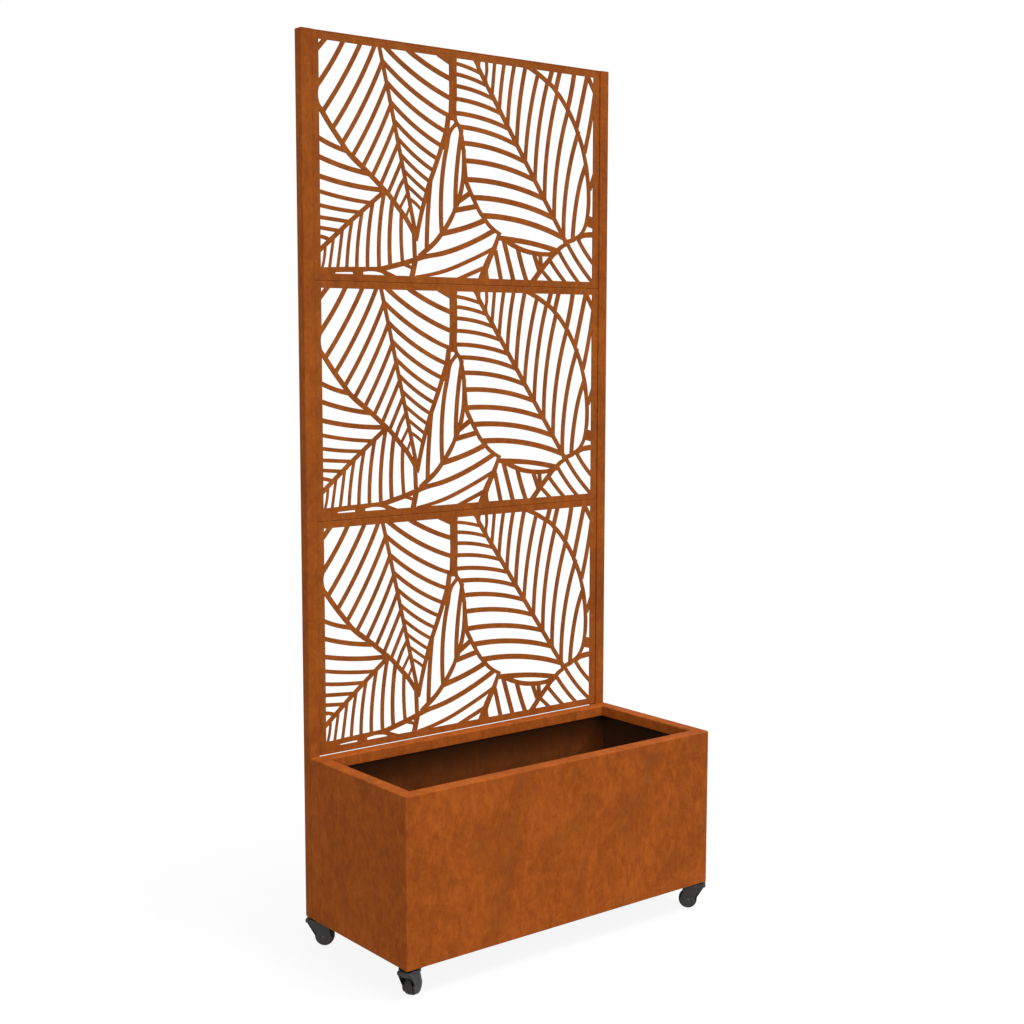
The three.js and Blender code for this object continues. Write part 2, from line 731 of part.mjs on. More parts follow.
// Leaves out, one at a time, the points of an outline that hardly change it.
function tidied(outline) {
  const points = [...outline];
  const isSpare = (i) => {
    const [ax, ay] = points[(i + points.length - 1) % points.length];
    const [bx, by] = points[i];
    const [cx, cy] = points[(i + 1) % points.length];
    const toNext = Math.hypot(cx - bx, cy - by);
    const span = Math.hypot(cx - ax, cy - ay);
    const offLine = Math.abs((bx - ax) * (cy - ay) - (by - ay) * (cx - ax)) / span;
    return toNext < SHORTEST_CUT || offLine < CUT_STRAIGHTNESS;
  };
  let spare = points.findIndex((_, i) => isSpare(i));
  while (spare >= 0 && points.length > 3) {
    points.splice(spare, 1);
    spare = points.findIndex((_, i) => isSpare(i));
  }
  return points;
}

// The openings that the laser cuts, as outlines: what the leaves leave free of the window
// inside the panel's plain border.
function panelOpenings() {
  const windowHalf = PANEL_WIDTH / 2 - PANEL_BORDER_SIDE;
  const window = block(
    [-windowHalf, PANEL_BORDER_END, THROUGH],
    [windowHalf, PANEL_HEIGHT - PANEL_BORDER_END, 2 * THROUGH],
  );
  const leaves = [
    ...upperLeaf(),
    ...stem(),
    ...lowerLeaf(),
    ...uprightLeaf(),
    ...broadLeaf(),
    ...hiddenLeaves(),
    ...lowerBlades(),
    ...cornerLeaves(),
  ];
  const area = (outline) =>
    THREE.ShapeUtils.area(outline.map(([x, y]) => new THREE.Vector2(x, y)));
  return topOutlines(cut(window, leaves), 2 * THROUGH)
    .map(tidied)
    .filter((outline) => area(outline) > SMALLEST_OPENING);
}

// One panel: a shallow tray with its face on Y = 0 and its folded edges towards +Y, and its
// bottom middle at the origin. It is made lying on its face, then stood up.
function screenPanel() {
  const half = PANEL_WIDTH / 2;
  const inner = half - PANEL_SHEET;
  const tray = block([-half, 0, 0], [half, PANEL_HEIGHT, PANEL_FOLD_DEPTH]).subtract(
    block(
      [-inner, PANEL_SHEET, PANEL_SHEET],
      [inner, PANEL_HEIGHT - PANEL_SHEET, PANEL_FOLD_DEPTH + THROUGH],
    ),
  );
  const openings = panelOpenings().map((outline) =>
    prism(outline, -THROUGH, PANEL_SHEET + THROUGH),
  );
  const screwDepth = PANEL_SCREW_Y - PANEL_FACE_Y;
  const screwHole = turned(
    bar(PANEL_SCREW_RADIUS + HOLE_CLEARANCE, -THROUGH, PANEL_SHEET + THROUGH),
    "+X",
  );
  const screwHoles = PANEL_SCREW_LEVELS.flatMap((level) => [
    screwHole.translate([-half, level, screwDepth]),
    screwHole.translate([inner, level, screwDepth]),
  ]);
  return cut(tray, [...openings, ...screwHoles])
    .rotate([90, 0, 0])
    .scale([1, -1, 1]);
}

// A flat bar that closes the screen's top between the posts, flush with the panels' faces.
function topRail() {
  return block(
    [-PANEL_WIDTH / 2, PANEL_FACE_Y, SCREEN_TOP],
    [PANEL_WIDTH / 2, POST_BACK_Y, FRAME_TOP],
  );
}

// ---------------------------------------------------------------- caster

// A caster's own frame has its swivel axis on Z and the floor at 0. Its wheel trails towards
// -X, so its nose points to +X.
const CROWN_TOP = CASTER_HEIGHT - PLATE_THICKNESS - RACE_HEIGHT - SWIVEL_CLEARANCE;
const CROWN_BOTTOM = CROWN_TOP - CROWN_HEIGHT;
const CHEEK_INNER = WHEEL_WIDTH / 2 + WHEEL_SIDE_CLEARANCE;
const CHEEK_OUTER = CHEEK_INNER + CHEEK_THICKNESS;
const AXLE = [-TRAIL, WHEEL_RADIUS];

// The mounting plate, square to the planter, with a raised race under it.
function casterPlate() {
  const half = PLATE_SIZE / 2;
  const bottom = CASTER_HEIGHT - PLATE_THICKNESS;
  const plate = block([-half, -half, bottom], [half, half, CASTER_HEIGHT]);
  const race = bar(RACE_RADIUS, bottom - RACE_HEIGHT, bottom + ROOT, RACE_SIDES);
  const hole = (radius) => bar(radius, bottom - RACE_HEIGHT - THROUGH, CASTER_HEIGHT + THROUGH);
  const offset = PLATE_HOLE_SPACING / 2;
  const fixingHoles = [-offset, offset].flatMap((x) =>
    [-offset, offset].map((y) => hole(PLATE_HOLE_RADIUS).translate([x, y, 0])),
  );
  return cut(plate.add(race), [hole(KINGPIN_RADIUS + FIT_CLEARANCE), ...fixingHoles]);
}

// The pin that hangs the fork from the plate.
function kingpin() {
  const headTop = CROWN_BOTTOM - SWIVEL_CLEARANCE;
  const profile = [
    [0, headTop - KINGPIN_HEAD_HEIGHT],
    [KINGPIN_HEAD_RADIUS, headTop - KINGPIN_HEAD_HEIGHT],
    [KINGPIN_HEAD_RADIUS, headTop],
    [KINGPIN_RADIUS, headTop],
    [KINGPIN_RADIUS, CASTER_HEIGHT],
    [0, CASTER_HEIGHT],
  ];
  return turnedProfile(profile, PIN_SIDES);
}

// The crown seen from above: a disc that runs out to a square nose with rounded corners.
function crownOutline() {
  const shoulder = Math.asin((CHEEK_OUTER + CROWN_OVERHANG) / CROWN_RADIUS);
  const cornerX = CROWN_NOSE_REACH - CROWN_CORNER_RADIUS;
  const cornerY = CHEEK_OUTER + CROWN_OVERHANG - CROWN_CORNER_RADIUS;
  return [
    ...arc([0, 0], CROWN_RADIUS, shoulder, 2 * Math.PI - shoulder, 3 * ARC_STEPS),
    ...arc([cornerX, -cornerY], CROWN_CORNER_RADIUS, -Math.PI / 2, 0, ARC_STEPS / 2),
    ...arc([cornerX, cornerY], CROWN_CORNER_RADIUS, 0, Math.PI / 2, ARC_STEPS / 2),
  ];
}

// A cheek seen from the side, as [along, up]: a disc round the axle, with a back edge that
// meets it as a tangent and a raked front edge that runs into it.
const NECK = THREE.MathUtils.degToRad(CHEEK_NECK_ANGLE);
const CHEEK_FRONT = [CHEEK_FRONT_REACH, CROWN_BOTTOM];
function cheekOutline() {
  const back = [-CHEEK_BACK_REACH, CROWN_BOTTOM];
  const dx = back[0] - AXLE[0];
  const dz = back[1] - AXLE[1];
  const from = Math.atan2(dz, dx) + Math.acos(CHEEK_RADIUS / Math.hypot(dx, dz));
  const disc = arc(AXLE, CHEEK_RADIUS, from, NECK + 2 * Math.PI, 3 * ARC_STEPS);
  const roots = [CHEEK_FRONT, back].map(([x, z]) => [x, z + ROOT]);
  return [CHEEK_FRONT, ...roots, back, ...disc];
}

// The guard: a sloping web between the cheeks, along the start of their front edges.
function guardOutline() {
  const neck = arc(AXLE, CHEEK_RADIUS, NECK, NECK, 1)[0];
  const slope = Math.atan2(CHEEK_FRONT[1] - neck[1], CHEEK_FRONT[0] - neck[0]);
  const run = GUARD_DROP / Math.tan(slope);
  const front = [CHEEK_FRONT[0] - GUARD_INSET, CHEEK_FRONT[1]];
  const low = [front[0] - run, front[1] - GUARD_DROP];
  const inset = GUARD_THICKNESS / Math.sin(slope);
  const inner = [[front[0] - inset, front[1] + ROOT], [front[0] - inset, front[1]]];
  return [front, [front[0], front[1] + ROOT], ...inner, [low[0] - inset, low[1]], low];
}

// An outline given as [along, up], made into a plate across the fork between two values of Y.
function acrossFork(outline, y0, y1) {
  return prism(outline, -y1, -y0).rotate([90, 0, 0]);
}

function fork() {
  const crown = prism(crownOutline(), CROWN_BOTTOM, CROWN_TOP);
  const cheek = acrossFork(cheekOutline(), CHEEK_INNER, CHEEK_OUTER);
  const guard = acrossFork(guardOutline(), -CHEEK_INNER - ROOT, CHEEK_INNER + ROOT);
  const pinHole = bar(KINGPIN_RADIUS + KINGPIN_CLEARANCE, CROWN_BOTTOM - THROUGH, CROWN_TOP + THROUGH);
  const axleHole = turned(
    bar(AXLE_RADIUS + FIT_CLEARANCE, -CHEEK_OUTER - THROUGH, CHEEK_OUTER + THROUGH),
    "+Y",
  ).translate([AXLE[0], 0, AXLE[1]]);
  return cut(join([crown, cheek, cheek.translate([0, -CHEEK_INNER - CHEEK_OUTER, 0]), guard]), [
    pinHole,
    axleHole,
  ]);
}

// The axle, with a flat head against each cheek.
function axle() {
  const end = CHEEK_OUTER + AXLE_HEAD_HEIGHT;
  const face = CHEEK_OUTER + FIT_CLEARANCE;
  const profile = [
    [0, -end],
    [AXLE_HEAD_RADIUS, -end],
    [AXLE_HEAD_RADIUS, -face],
    [AXLE_RADIUS, -face],
    [AXLE_RADIUS, face],
    [AXLE_HEAD_RADIUS, face],
    [AXLE_HEAD_RADIUS, end],
    [0, end],
  ];
  return turned(turnedProfile(profile, PIN_SIDES), "+Y").translate([AXLE[0], 0, AXLE[1]]);
}

// Half of a closed profile, mirrored to the other side of the wheel.
const mirrored = (half) => [...half, ...half.map(([radius, z]) => [radius, -z]).reverse()];

// The wheel's core: hub, web and rim in one, with the web set in from both faces.
function wheelCore() {
  const rim = WHEEL_RADIUS - TYRE_THICKNESS;
  const face = WHEEL_WIDTH / 2;
  const web = face - WHEEL_WEB_RECESS;
  const profile = mirrored([
    [rim, face - WHEEL_RIM_SETBACK],
    [rim - WHEEL_RIM_WALL, face - WHEEL_RIM_SETBACK],
    [rim - WHEEL_RIM_WALL, web],
    [HUB_RADIUS, web],
    [HUB_RADIUS, face],
    [AXLE_RADIUS + AXLE_CLEARANCE, face],
  ]);
  return turned(turnedProfile([...profile, profile[0]], TYRE_SIDES), "+Y").translate([
    AXLE[0],
    0,
    AXLE[1],
  ]);
}

// The tyre: a band with rounded shoulders, a corner of its facets pointing down.
function tyre() {
  const inner = WHEEL_RADIUS - TYRE_THICKNESS + FIT_CLEARANCE;
  const face = WHEEL_WIDTH / 2;
  const shoulder = [WHEEL_RADIUS - TYRE_SHOULDER, face - TYRE_SHOULDER];
  const rounded = arc(shoulder, TYRE_SHOULDER, 0, Math.PI / 2, 2);
  const profile = mirrored([...rounded, [inner, face]]);
  return turned(turnedProfile([...profile, profile[0]], TYRE_SIDES), "+Y").translate([
    AXLE[0],
    0,
    AXLE[1],
  ]);
}

// ---------------------------------------------------------------- assembly

const planterScreen = new THREE.Group();

for (const side of Object.keys(WALLS)) {
  const wall = troughWall(side);
  const holes = side === "back" ? Object.values(SIDES).flatMap(postBoltHoles) : [];
  part(`planter_${side}`, cut(wall, holes), weatheringSteel(), planterScreen);
}
part("planter_floor", troughFloor(), weatheringSteel(), planterScreen);

const boltBody = postBolt();
const nutBody = postNut();
for (const [name, side] of Object.entries(SIDES)) {
  part(`post_${name}`, post(side), weatheringSteel(), planterScreen);
  part(`post_cap_${name}`, postCap(side), weatheringSteel(), planterScreen);
  for (const [place, level] of Object.entries(POST_BOLT_LEVELS)) {
    const bolt = part(`post_bolt_${name}_${place}`, boltBody, zincSteel(), planterScreen);
    bolt.position.set(side * POST_X, POST_FRONT_Y - TROUGH_SHEET, level);
    const nut = part(`post_nut_${name}_${place}`, nutBody, zincSteel(), planterScreen);
    nut.position.set(side * POST_X, POST_FRONT_Y + POST_WALL, level);
  }
}

const PANEL_NAMES = ["lower", "middle", "upper"];
const panelBody = screenPanel();
const screwBody = panelScrew();
for (let index = 0; index < PANEL_COUNT; index += 1) {
  const bay = new THREE.Group();
  bay.position.set(0, 0, panelBottom(index));
  planterScreen.add(bay);
  const name = PANEL_NAMES[index] ?? `extra_${index}`;
  const panel = part(`screen_panel_${name}`, panelBody, screenSteel(), bay);
  panel.position.y = PANEL_FACE_Y;
  for (const [sideName, side] of Object.entries(SIDES)) {
    PANEL_SCREW_LEVELS.forEach((level, i) => {
      const place = i === 0 ? "low" : "high";
      const screw = part(`screw_${name}_${sideName}_${place}`, screwBody, zincSteel(), bay);
      screw.position.set(side * (PANEL_WIDTH / 2 - PANEL_SHEET), PANEL_SCREW_Y, level);
      screw.rotation.z = side > 0 ? 0 : Math.PI;
    });
  }
}
part("top_rail", topRail(), weatheringSteel(), planterScreen);

const casterParts = {
  top_plate: [casterPlate(), casterSteel, false],
  kingpin: [kingpin(), zincSteel, false],
  fork: [fork(), casterSteel, true],
  axle: [axle(), zincSteel, true],
  wheel: [wheelCore(), wheelPlastic, true],
  tyre: [tyre(), tyreRubber, true],
};
// How far each caster rests turned past its own corner's direction, in degrees from above.
const CASTER_SWING = { front_left: -16, front_right: 0, back_left: 0, back_right: 0 };
const CASTER_X = END_X - CASTER_INSET;
const CASTER_Y = OVERALL_DEPTH / 2 - CASTER_INSET;
for (const [endName, y] of Object.entries({ front: -1, back: 1 })) {
  for (const [sideName, x] of Object.entries(SIDES)) {
    const fixed = new THREE.Group();
    fixed.position.set(x * CASTER_X, y * CASTER_Y, 0);
    const turning = new THREE.Group();
    const swing = THREE.MathUtils.degToRad(CASTER_SWING[`${endName}_${sideName}`]);
    turning.rotation.z = Math.atan2(y, x) + swing; // the nose points out at the corner
    fixed.add(turning);
    planterScreen.add(fixed);
    for (const [piece, [body, material, turns]] of Object.entries(casterParts)) {
      part(`caster_${endName}_${sideName}_${piece}`, body, material(), turns ? turning : fixed);
    }
  }
}

export default planterScreen;
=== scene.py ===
# %% [markdown]
# # A rolling planter with a laser-cut screen
#
# The real object is a trough of weathering steel on four swivel casters, with two square posts
# behind it that hold three steel panels cut with overlapping leaves. Its solids come from a
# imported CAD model. This notebook dresses them: each cell makes one piece or one finish.
#
# Everything is in metres. The origin is on the floor under the middle of the planter, +X runs
# along its length, the screen stands at the +Y side and +Z is up.

import math

import bmesh
import bpy
import numpy as np
from mathutils import Matrix, Vector
from mathutils.geometry import delaunay_2d_cdt


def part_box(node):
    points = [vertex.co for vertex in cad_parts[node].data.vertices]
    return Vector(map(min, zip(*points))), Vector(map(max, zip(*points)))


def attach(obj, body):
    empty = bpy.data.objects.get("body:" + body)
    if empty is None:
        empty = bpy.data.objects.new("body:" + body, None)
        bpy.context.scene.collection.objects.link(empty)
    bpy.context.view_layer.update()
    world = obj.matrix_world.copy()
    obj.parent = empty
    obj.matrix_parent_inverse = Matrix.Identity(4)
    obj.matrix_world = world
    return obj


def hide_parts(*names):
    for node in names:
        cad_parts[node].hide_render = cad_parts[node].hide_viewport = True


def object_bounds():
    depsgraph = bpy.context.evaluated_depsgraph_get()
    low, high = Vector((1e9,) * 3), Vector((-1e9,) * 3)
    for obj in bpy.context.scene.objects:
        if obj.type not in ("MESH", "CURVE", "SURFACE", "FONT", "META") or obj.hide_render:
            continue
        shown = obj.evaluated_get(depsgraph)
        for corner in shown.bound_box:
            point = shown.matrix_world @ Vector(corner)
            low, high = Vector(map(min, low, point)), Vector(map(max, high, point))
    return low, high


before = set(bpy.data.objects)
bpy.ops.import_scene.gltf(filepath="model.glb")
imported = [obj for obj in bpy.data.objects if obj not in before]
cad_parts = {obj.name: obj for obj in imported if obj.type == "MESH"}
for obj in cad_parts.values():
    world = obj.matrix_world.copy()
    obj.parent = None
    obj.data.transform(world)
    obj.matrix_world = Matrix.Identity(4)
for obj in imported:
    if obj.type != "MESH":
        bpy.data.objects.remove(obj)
cad_box = [list(corner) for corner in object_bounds()]
low, high = np.array(cad_box[0]), np.array(cad_box[1])
print(len(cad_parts), "solids, box", np.round(high - low, 4))

MM = 0.001
MICRON = 1e-6
SIDES = {"left": -1, "right": 1}

# %% [markdown]
# ## Writing shader maths as expressions
#
# A finish is a tree of nodes, and its maths is easier to read as `a * 0.5 + b` than as a list of
# links. The class below wraps one socket of one tree. Each operator adds a Math node and hands
# back its output, wrapped again. Every other kind of node comes from one method, `node`, which
# takes the node's type, its settings, and the values or links of its sockets.


# %% A socket that can be added, multiplied and mixed
class Wire:
    """One output socket of a material's tree, with operators that add Math nodes."""

    def __init__(self, tree, socket):
        self.tree = tree
        self.socket = socket

    def math(self, operation, other):
        """One Math node on this value and another."""
        return self.node("ShaderNodeMath", {"operation": operation}, {0: self, 1: other})

    def node(self, kind, settings=None, inputs=None, output=0):
        """Adds a node: settings are set first, then the sockets' values or links."""
        return new_node(self.tree, kind, settings, inputs, output)

    def __add__(self, other):
        return self.math("ADD", other)

    def __mul__(self, other):
        return self.math("MULTIPLY", other)

    __radd__ = __add__
    __rmul__ = __mul__

    def clamped(self, start, end):
        """The wire's value, mapped so that start becomes 0 and end becomes 1, and cut off there."""
        return self.node(
            "ShaderNodeMapRange",
            {"clamp": True},
            {"Value": self, "From Min": start, "From Max": end},
        )

    def mix(self, first, second):
        """A colour between two, by this wire as the factor."""
        return self.node(
            "ShaderNodeMix",
            {"data_type": "RGBA", "clamp_factor": True},
            {"Factor": self, 6: first, 7: second},
            output=2,
        )


def new_node(tree, kind, settings=None, inputs=None, output=0):
    """Adds one node to a tree and returns the chosen output as a Wire."""
    made = tree.nodes.new(kind)
    for name, value in (settings or {}).items():
        setattr(made, name, value)
    for name, value in (inputs or {}).items():
        socket = made.inputs[name]
        if isinstance(value, Wire):
            tree.links.new(value.socket, socket)
        elif isinstance(value, tuple) and len(value) == 3 and len(socket.default_value) == 4:
            socket.default_value = (*value, 1.0)
        else:
            socket.default_value = value
    return Wire(tree, made.outputs[output])


def axis_of(place, axis):
    """One of a wire's three coordinates: axis is 0, 1 or 2."""
    return place.node("ShaderNodeSeparateXYZ", {}, {"Vector": place}, output=axis)


# %% A new finish and its patterns
def start_finish(name):
    """An empty material: its tree, its shader node and a wire of object coordinates."""
    material = bpy.data.materials.new(name)
    material.use_nodes = True
    tree = material.node_tree
    tree.nodes.clear()
    shader = tree.nodes.new("ShaderNodeBsdfPrincipled")
    output = tree.nodes.new("ShaderNodeOutputMaterial")
    tree.links.new(shader.outputs["BSDF"], output.inputs["Surface"])
    place = new_node(tree, "ShaderNodeTexCoord", output="Object")
    return material, shader, place


def feed(shader, **sockets):
    """Links wires to the shader's sockets, or sets plain values on them."""
    for name, value in sockets.items():
        socket = shader.inputs[name.replace("_", " ")]
        if isinstance(value, Wire):
            value.tree.links.new(value.socket, socket)
        else:
            socket.default_value = value


def stretched(place, x=1.0, y=1.0, z=1.0):
    """The coordinates, scaled along each axis, so that a pattern comes out longer or shorter."""
    return place.node("ShaderNodeMapping", {}, {"Vector": place, "Scale": (x, y, z)})


def noise(place, scale, detail=4.0, roughness=0.55, distortion=0.0):
    """Soft clouds from 0 to 1, with scale clouds to a metre."""
    return place.node(
        "ShaderNodeTexNoise",
        {},
        {
            "Vector": place,
            "Scale": scale,
            "Detail": detail,
            "Roughness": roughness,
            "Distortion": distortion,
        },
    )


def bump(height, strength, distance):
    """Turns a height pattern into a tilted normal; distance is its full height in metres."""
    return height.node(
        "ShaderNodeBump", {}, {"Height": height, "Strength": strength, "Distance": distance}
    )


print("shader helpers ready")

# %% [markdown]
# ## Weathering steel
#
# Weathering steel grows a tight layer of rust. It is dull and dry, so it is no mirror at all:
# metallic stays near 0 and roughness near 0.8. Its colour is a saturated orange-brown that
# drifts in soft patches a hand wide, with a fine grain over them, and rain draws faint streaks
# down the upright faces. Darker, browner smudges sit where it stayed wet. All of that is noise
# at different scales, so one function makes it, and each piece gets its own lightness.
# Inside the trough and on the panels' cut edges it also paints shade, as darker colours in a box.


# %% The rust finish
# the mask of the painted shade in weathered_steel
def within(place, low, high, soft=1 * MM):
    """1 inside the box from low to high, 0 outside, with edges a millimetre soft.

    The value is the product, over the three axes, of how far the point is past each side.
    """
    inside = None
    for axis, (start, end) in enumerate(zip(low, high)):
        along = axis_of(place, axis)
        part = along.clamped(start, start + soft) * along.clamped(end + soft, end)
        inside = part if inside is None else inside * part
    return inside


def weathered_steel(
    name, light, deep, dark, streaks=1.0, smudges=1.0, box=None, inner=None, fade=(-1, 0)
):
    """Rust: light, deep and dark are its colours; streaks and smudges say how strong those are.

    Inside the box, given by its two corners, the colour is painted shade instead, one of the two in
    inner. It goes from the first to the second between the two heights of fade.
    """
    material, shader, place = start_finish(name)
    patches = noise(place, 5.5, 5.0, 0.6, 0.4).clamped(0.35, 0.65)
    mottle = noise(stretched(place, 1, 1, 0.65), 38.0, 6.0, 0.7, 0.6).clamped(0.37, 0.65)
    rain = noise(stretched(place, 1, 1, 0.16), 90.0, 4.0, 0.65, 0.3).clamped(0.38, 0.72)
    grain = noise(stretched(place, 1, 1, 0.6), 115.0, 6.0, 0.75).clamped(0.34, 0.68)
    wet = noise(stretched(place, 1, 1, 0.7), 7.0, 4.0, 0.6, 0.8).clamped(0.54, 0.74)
    tone = (patches * 0.24 + mottle * 0.4 + grain * 0.36).clamped(0.2, 0.8)
    colour = tone.mix(deep, light)
    colour = (rain * (0.3 * streaks)).mix(colour, deep)
    colour = ((wet * (0.3 + 0.7 * mottle)) * (0.5 * smudges)).mix(colour, dark)
    # painted shade: inside the box the colour turns darker, darkest at the first height of fade
    if box:
        inside = (axis_of(place, 2).clamped(*fade) * (0.6 + 0.4 * mottle)).mix(*inner)
        colour = within(place, *box).mix(colour, inside)
    pits = noise(place, 900.0, 3.0, 0.6)
    crust = mottle * 0.5 + grain * 0.35 + pits * 0.15
    feed(
        shader,
        Base_Color=colour,
        Roughness=0.72 + grain * 0.12 + wet * 0.06,
        Metallic=0.0,
        Specular_IOR_Level=0.1,
        Normal=bump(crust, 0.55, 0.00045),
    )
    return material


LIGHT_RUST = (0.44, 0.106, 0.0125)
DEEP_RUST = (0.265, 0.056, 0.0066)
DARK_RUST = (0.11, 0.035, 0.009)
# painted shade inside the trough: darkest under the rim's shadow, darker still on the end walls
wall_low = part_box("planter_front")[0] + Vector((2 * MM, 2 * MM, 0))
wall_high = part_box("planter_back")[1] - Vector((2 * MM, 2 * MM, 29 * MM))
trough_painted_shade_box = (tuple(wall_low), tuple(wall_high))
rim_shadow_heights = (wall_high.z - 15 * MM, wall_high.z - 90 * MM)
long_wall_rust_painted_shade = weathered_steel(
    "long_wall_rust_painted_shade", LIGHT_RUST, DEEP_RUST, DARK_RUST,
    box=trough_painted_shade_box, inner=((0.05, 0.016, 0.0038), (0.2, 0.05, 0.0082)), fade=rim_shadow_heights,
)
end_wall_rust_painted_shade = weathered_steel(
    "end_wall_rust_painted_shade", LIGHT_RUST, DEEP_RUST, DARK_RUST,
    box=trough_painted_shade_box, inner=((0.023, 0.0085, 0.0022), (0.055, 0.018, 0.004)), fade=rim_shadow_heights,
)
# painted shade: the trough's floor gets a far darker rust, as the trough's inside is in shade
floor_rust_painted_shade = weathered_steel("floor_rust_painted_shade", (0.15, 0.035, 0.005), (0.07, 0.016, 0.003), DARK_RUST)
post_rust = weathered_steel(
    "post_rust", (0.4, 0.1, 0.0115), (0.25, 0.056, 0.0065), DARK_RUST, streaks=0.6
)
panel_low, panel_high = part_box("screen_panel_lower")[0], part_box("screen_panel_upper")[1]
# the cut edges lie between the sheet's two faces, 3 mm apart; they are painted darker, as shade
cut_edge_painted_shade_box = ((-1, panel_low.y + 0.3 * MM, 0), (1, panel_low.y + 2.7 * MM, panel_high.z))
screen_rust_painted_shade = weathered_steel(
    "screen_rust_painted_shade", (0.385, 0.102, 0.0128), (0.245, 0.058, 0.008), DARK_RUST,
    streaks=0.5, smudges=0.6,
    box=cut_edge_painted_shade_box, inner=((0.14, 0.034, 0.005), (0.22, 0.056, 0.008)),
)
print("rust finishes made")

# %% [markdown]
# ## Caster metal, plastic, rubber and zinc
#
# The casters are dark: a painted pressed fork, a moulded wheel core and a rubber tyre. Satin
# paint has a fine orange-peel ripple, moulded plastic a slight grain, and rubber is dull and
# picks up pale dust on the tread. The small fasteners are dull zinc, a real metal finish with
# faint cloudy patches.


# %% Finishes of the small parts
def painted_fork():
    """Dark satin paint with a fine ripple and faint dust."""
    material, shader, place = start_finish("caster_paint")
    ripple = noise(place, 700.0, 2.0, 0.5)
    dust = noise(place, 60.0, 5.0, 0.65, 0.5).clamped(0.45, 0.8)
    feed(
        shader,
        Base_Color=(dust * 0.35).mix((0.017, 0.0155, 0.0145), (0.042, 0.037, 0.032)),
        Roughness=0.5 + dust * 0.18,
        Specular_IOR_Level=0.4,
        Metallic=0.0,
        Normal=bump(ripple, 0.25, 0.00012),
    )
    return material


def moulded_plastic():
    """Dark moulded plastic with a fine grain."""
    material, shader, place = start_finish("wheel_plastic")
    grain = noise(place, 1400.0, 3.0, 0.6)
    worn = noise(place, 90.0, 4.0, 0.6).clamped(0.5, 0.75)
    feed(
        shader,
        Base_Color=(worn * 0.4).mix((0.026, 0.025, 0.025), (0.05, 0.047, 0.044)),
        Roughness=0.5 + grain * 0.12,
        Normal=bump(grain, 0.3, 0.0001),
    )
    return material


def tyre_rubber():
    """Dull rubber with road dust in patches."""
    material, shader, place = start_finish("tyre_rubber")
    dust = noise(place, 110.0, 5.0, 0.7, 0.6).clamped(0.42, 0.75)
    grain = noise(place, 1800.0, 3.0, 0.6)
    feed(
        shader,
        Base_Color=(dust * 0.5).mix((0.022, 0.021, 0.021), (0.06, 0.052, 0.045)),
        Roughness=0.74 + dust * 0.16,
        Specular_IOR_Level=0.35,
        Normal=bump(grain, 0.35, 0.0001),
    )
    return material


def dull_zinc(name, dull, bright):
    """Zinc plating between two greys: metal, with cloudy patches and a light bloom."""
    material, shader, place = start_finish(name)
    cloud = noise(place, 240.0, 4.0, 0.6, 0.4).clamped(0.3, 0.75)
    feed(
        shader,
        Base_Color=cloud.mix(dull, bright),
        Roughness=0.34 + cloud * 0.2,
        Metallic=1.0,
        Normal=bump(cloud, 0.15, 0.00008),
    )
    return material


fork_paint = painted_fork()
wheel_plastic = moulded_plastic()
rubber = tyre_rubber()
zinc = dull_zinc("dull_zinc", (0.42, 0.42, 0.41), (0.6, 0.6, 0.58))
dark_zinc = dull_zinc("dark_zinc", (0.035, 0.033, 0.031), (0.08, 0.075, 0.07))
print("caster and fastener finishes made")

# %% [markdown]
# ## From arrays to pieces
#
# Each shape below is worked out with numpy as a grid of points: rows are rings round the piece,
# columns are points along a ring. The helper turns a grid into quads, closes it where asked, and
# `finished` gives the mesh its finish, its body and the solid that it stands for.


# %% Mesh helpers
def grid_quads(rows, columns, wrap_rows=False, wrap_columns=True, first=0):
    """Quads between neighbouring rows and columns of a grid of points, counted from first."""
    i = np.arange(rows if wrap_rows else rows - 1)[:, None]
    j = np.arange(columns if wrap_columns else columns - 1)[None, :]
    below, beside = (i + 1) % rows, (j + 1) % columns
    corners = [i * columns + j, i * columns + beside, below * columns + beside, below * columns + j]
    return np.stack(np.broadcast_arrays(*corners), axis=-1).reshape(-1, 4) + first


def piece_mesh(name, points, faces, smooth_below=35.0, merge=1e-7):
    """A mesh object from points and faces, with doubles merged and normals facing out.

    Faces that meet at less than smooth_below degrees are shaded as one curved surface. A point's
    shading normal is the mean of its faces' normals by area, so large flat faces stay flat.
    """
    mesh = bpy.data.meshes.new(name)
    mesh.from_pydata(np.asarray(points, float).tolist(), [], [list(map(int, f)) for f in faces])
    edit = bmesh.new()
    edit.from_mesh(mesh)
    bmesh.ops.remove_doubles(edit, verts=edit.verts, dist=merge)
    bmesh.ops.dissolve_degenerate(edit, edges=edit.edges, dist=merge)
    bmesh.ops.recalc_face_normals(edit, faces=edit.faces)
    edit.to_mesh(mesh)
    edit.free()
    mesh.shade_smooth()
    mesh.set_sharp_from_angle(angle=math.radians(smooth_below))
    made = bpy.data.objects.new(name, mesh)
    bpy.context.scene.collection.objects.link(made)
    made.modifiers.new("by_area", "WEIGHTED_NORMAL").keep_sharp = True
    shaded = made.evaluated_get(bpy.context.evaluated_depsgraph_get())
    made.data = bpy.data.meshes.new_from_object(shaded)
    made.modifiers.clear()
    bpy.data.meshes.remove(mesh)
    return made


def finished(piece, material, body, slot, *nodes):
    """Gives a piece its finish and its body, and hides the solids it stands for; slot is not used.
    """
    piece.data.materials.clear()
    piece.data.materials.append(material)
    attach(piece, body)
    if nodes:
        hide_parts(*nodes)
    return piece


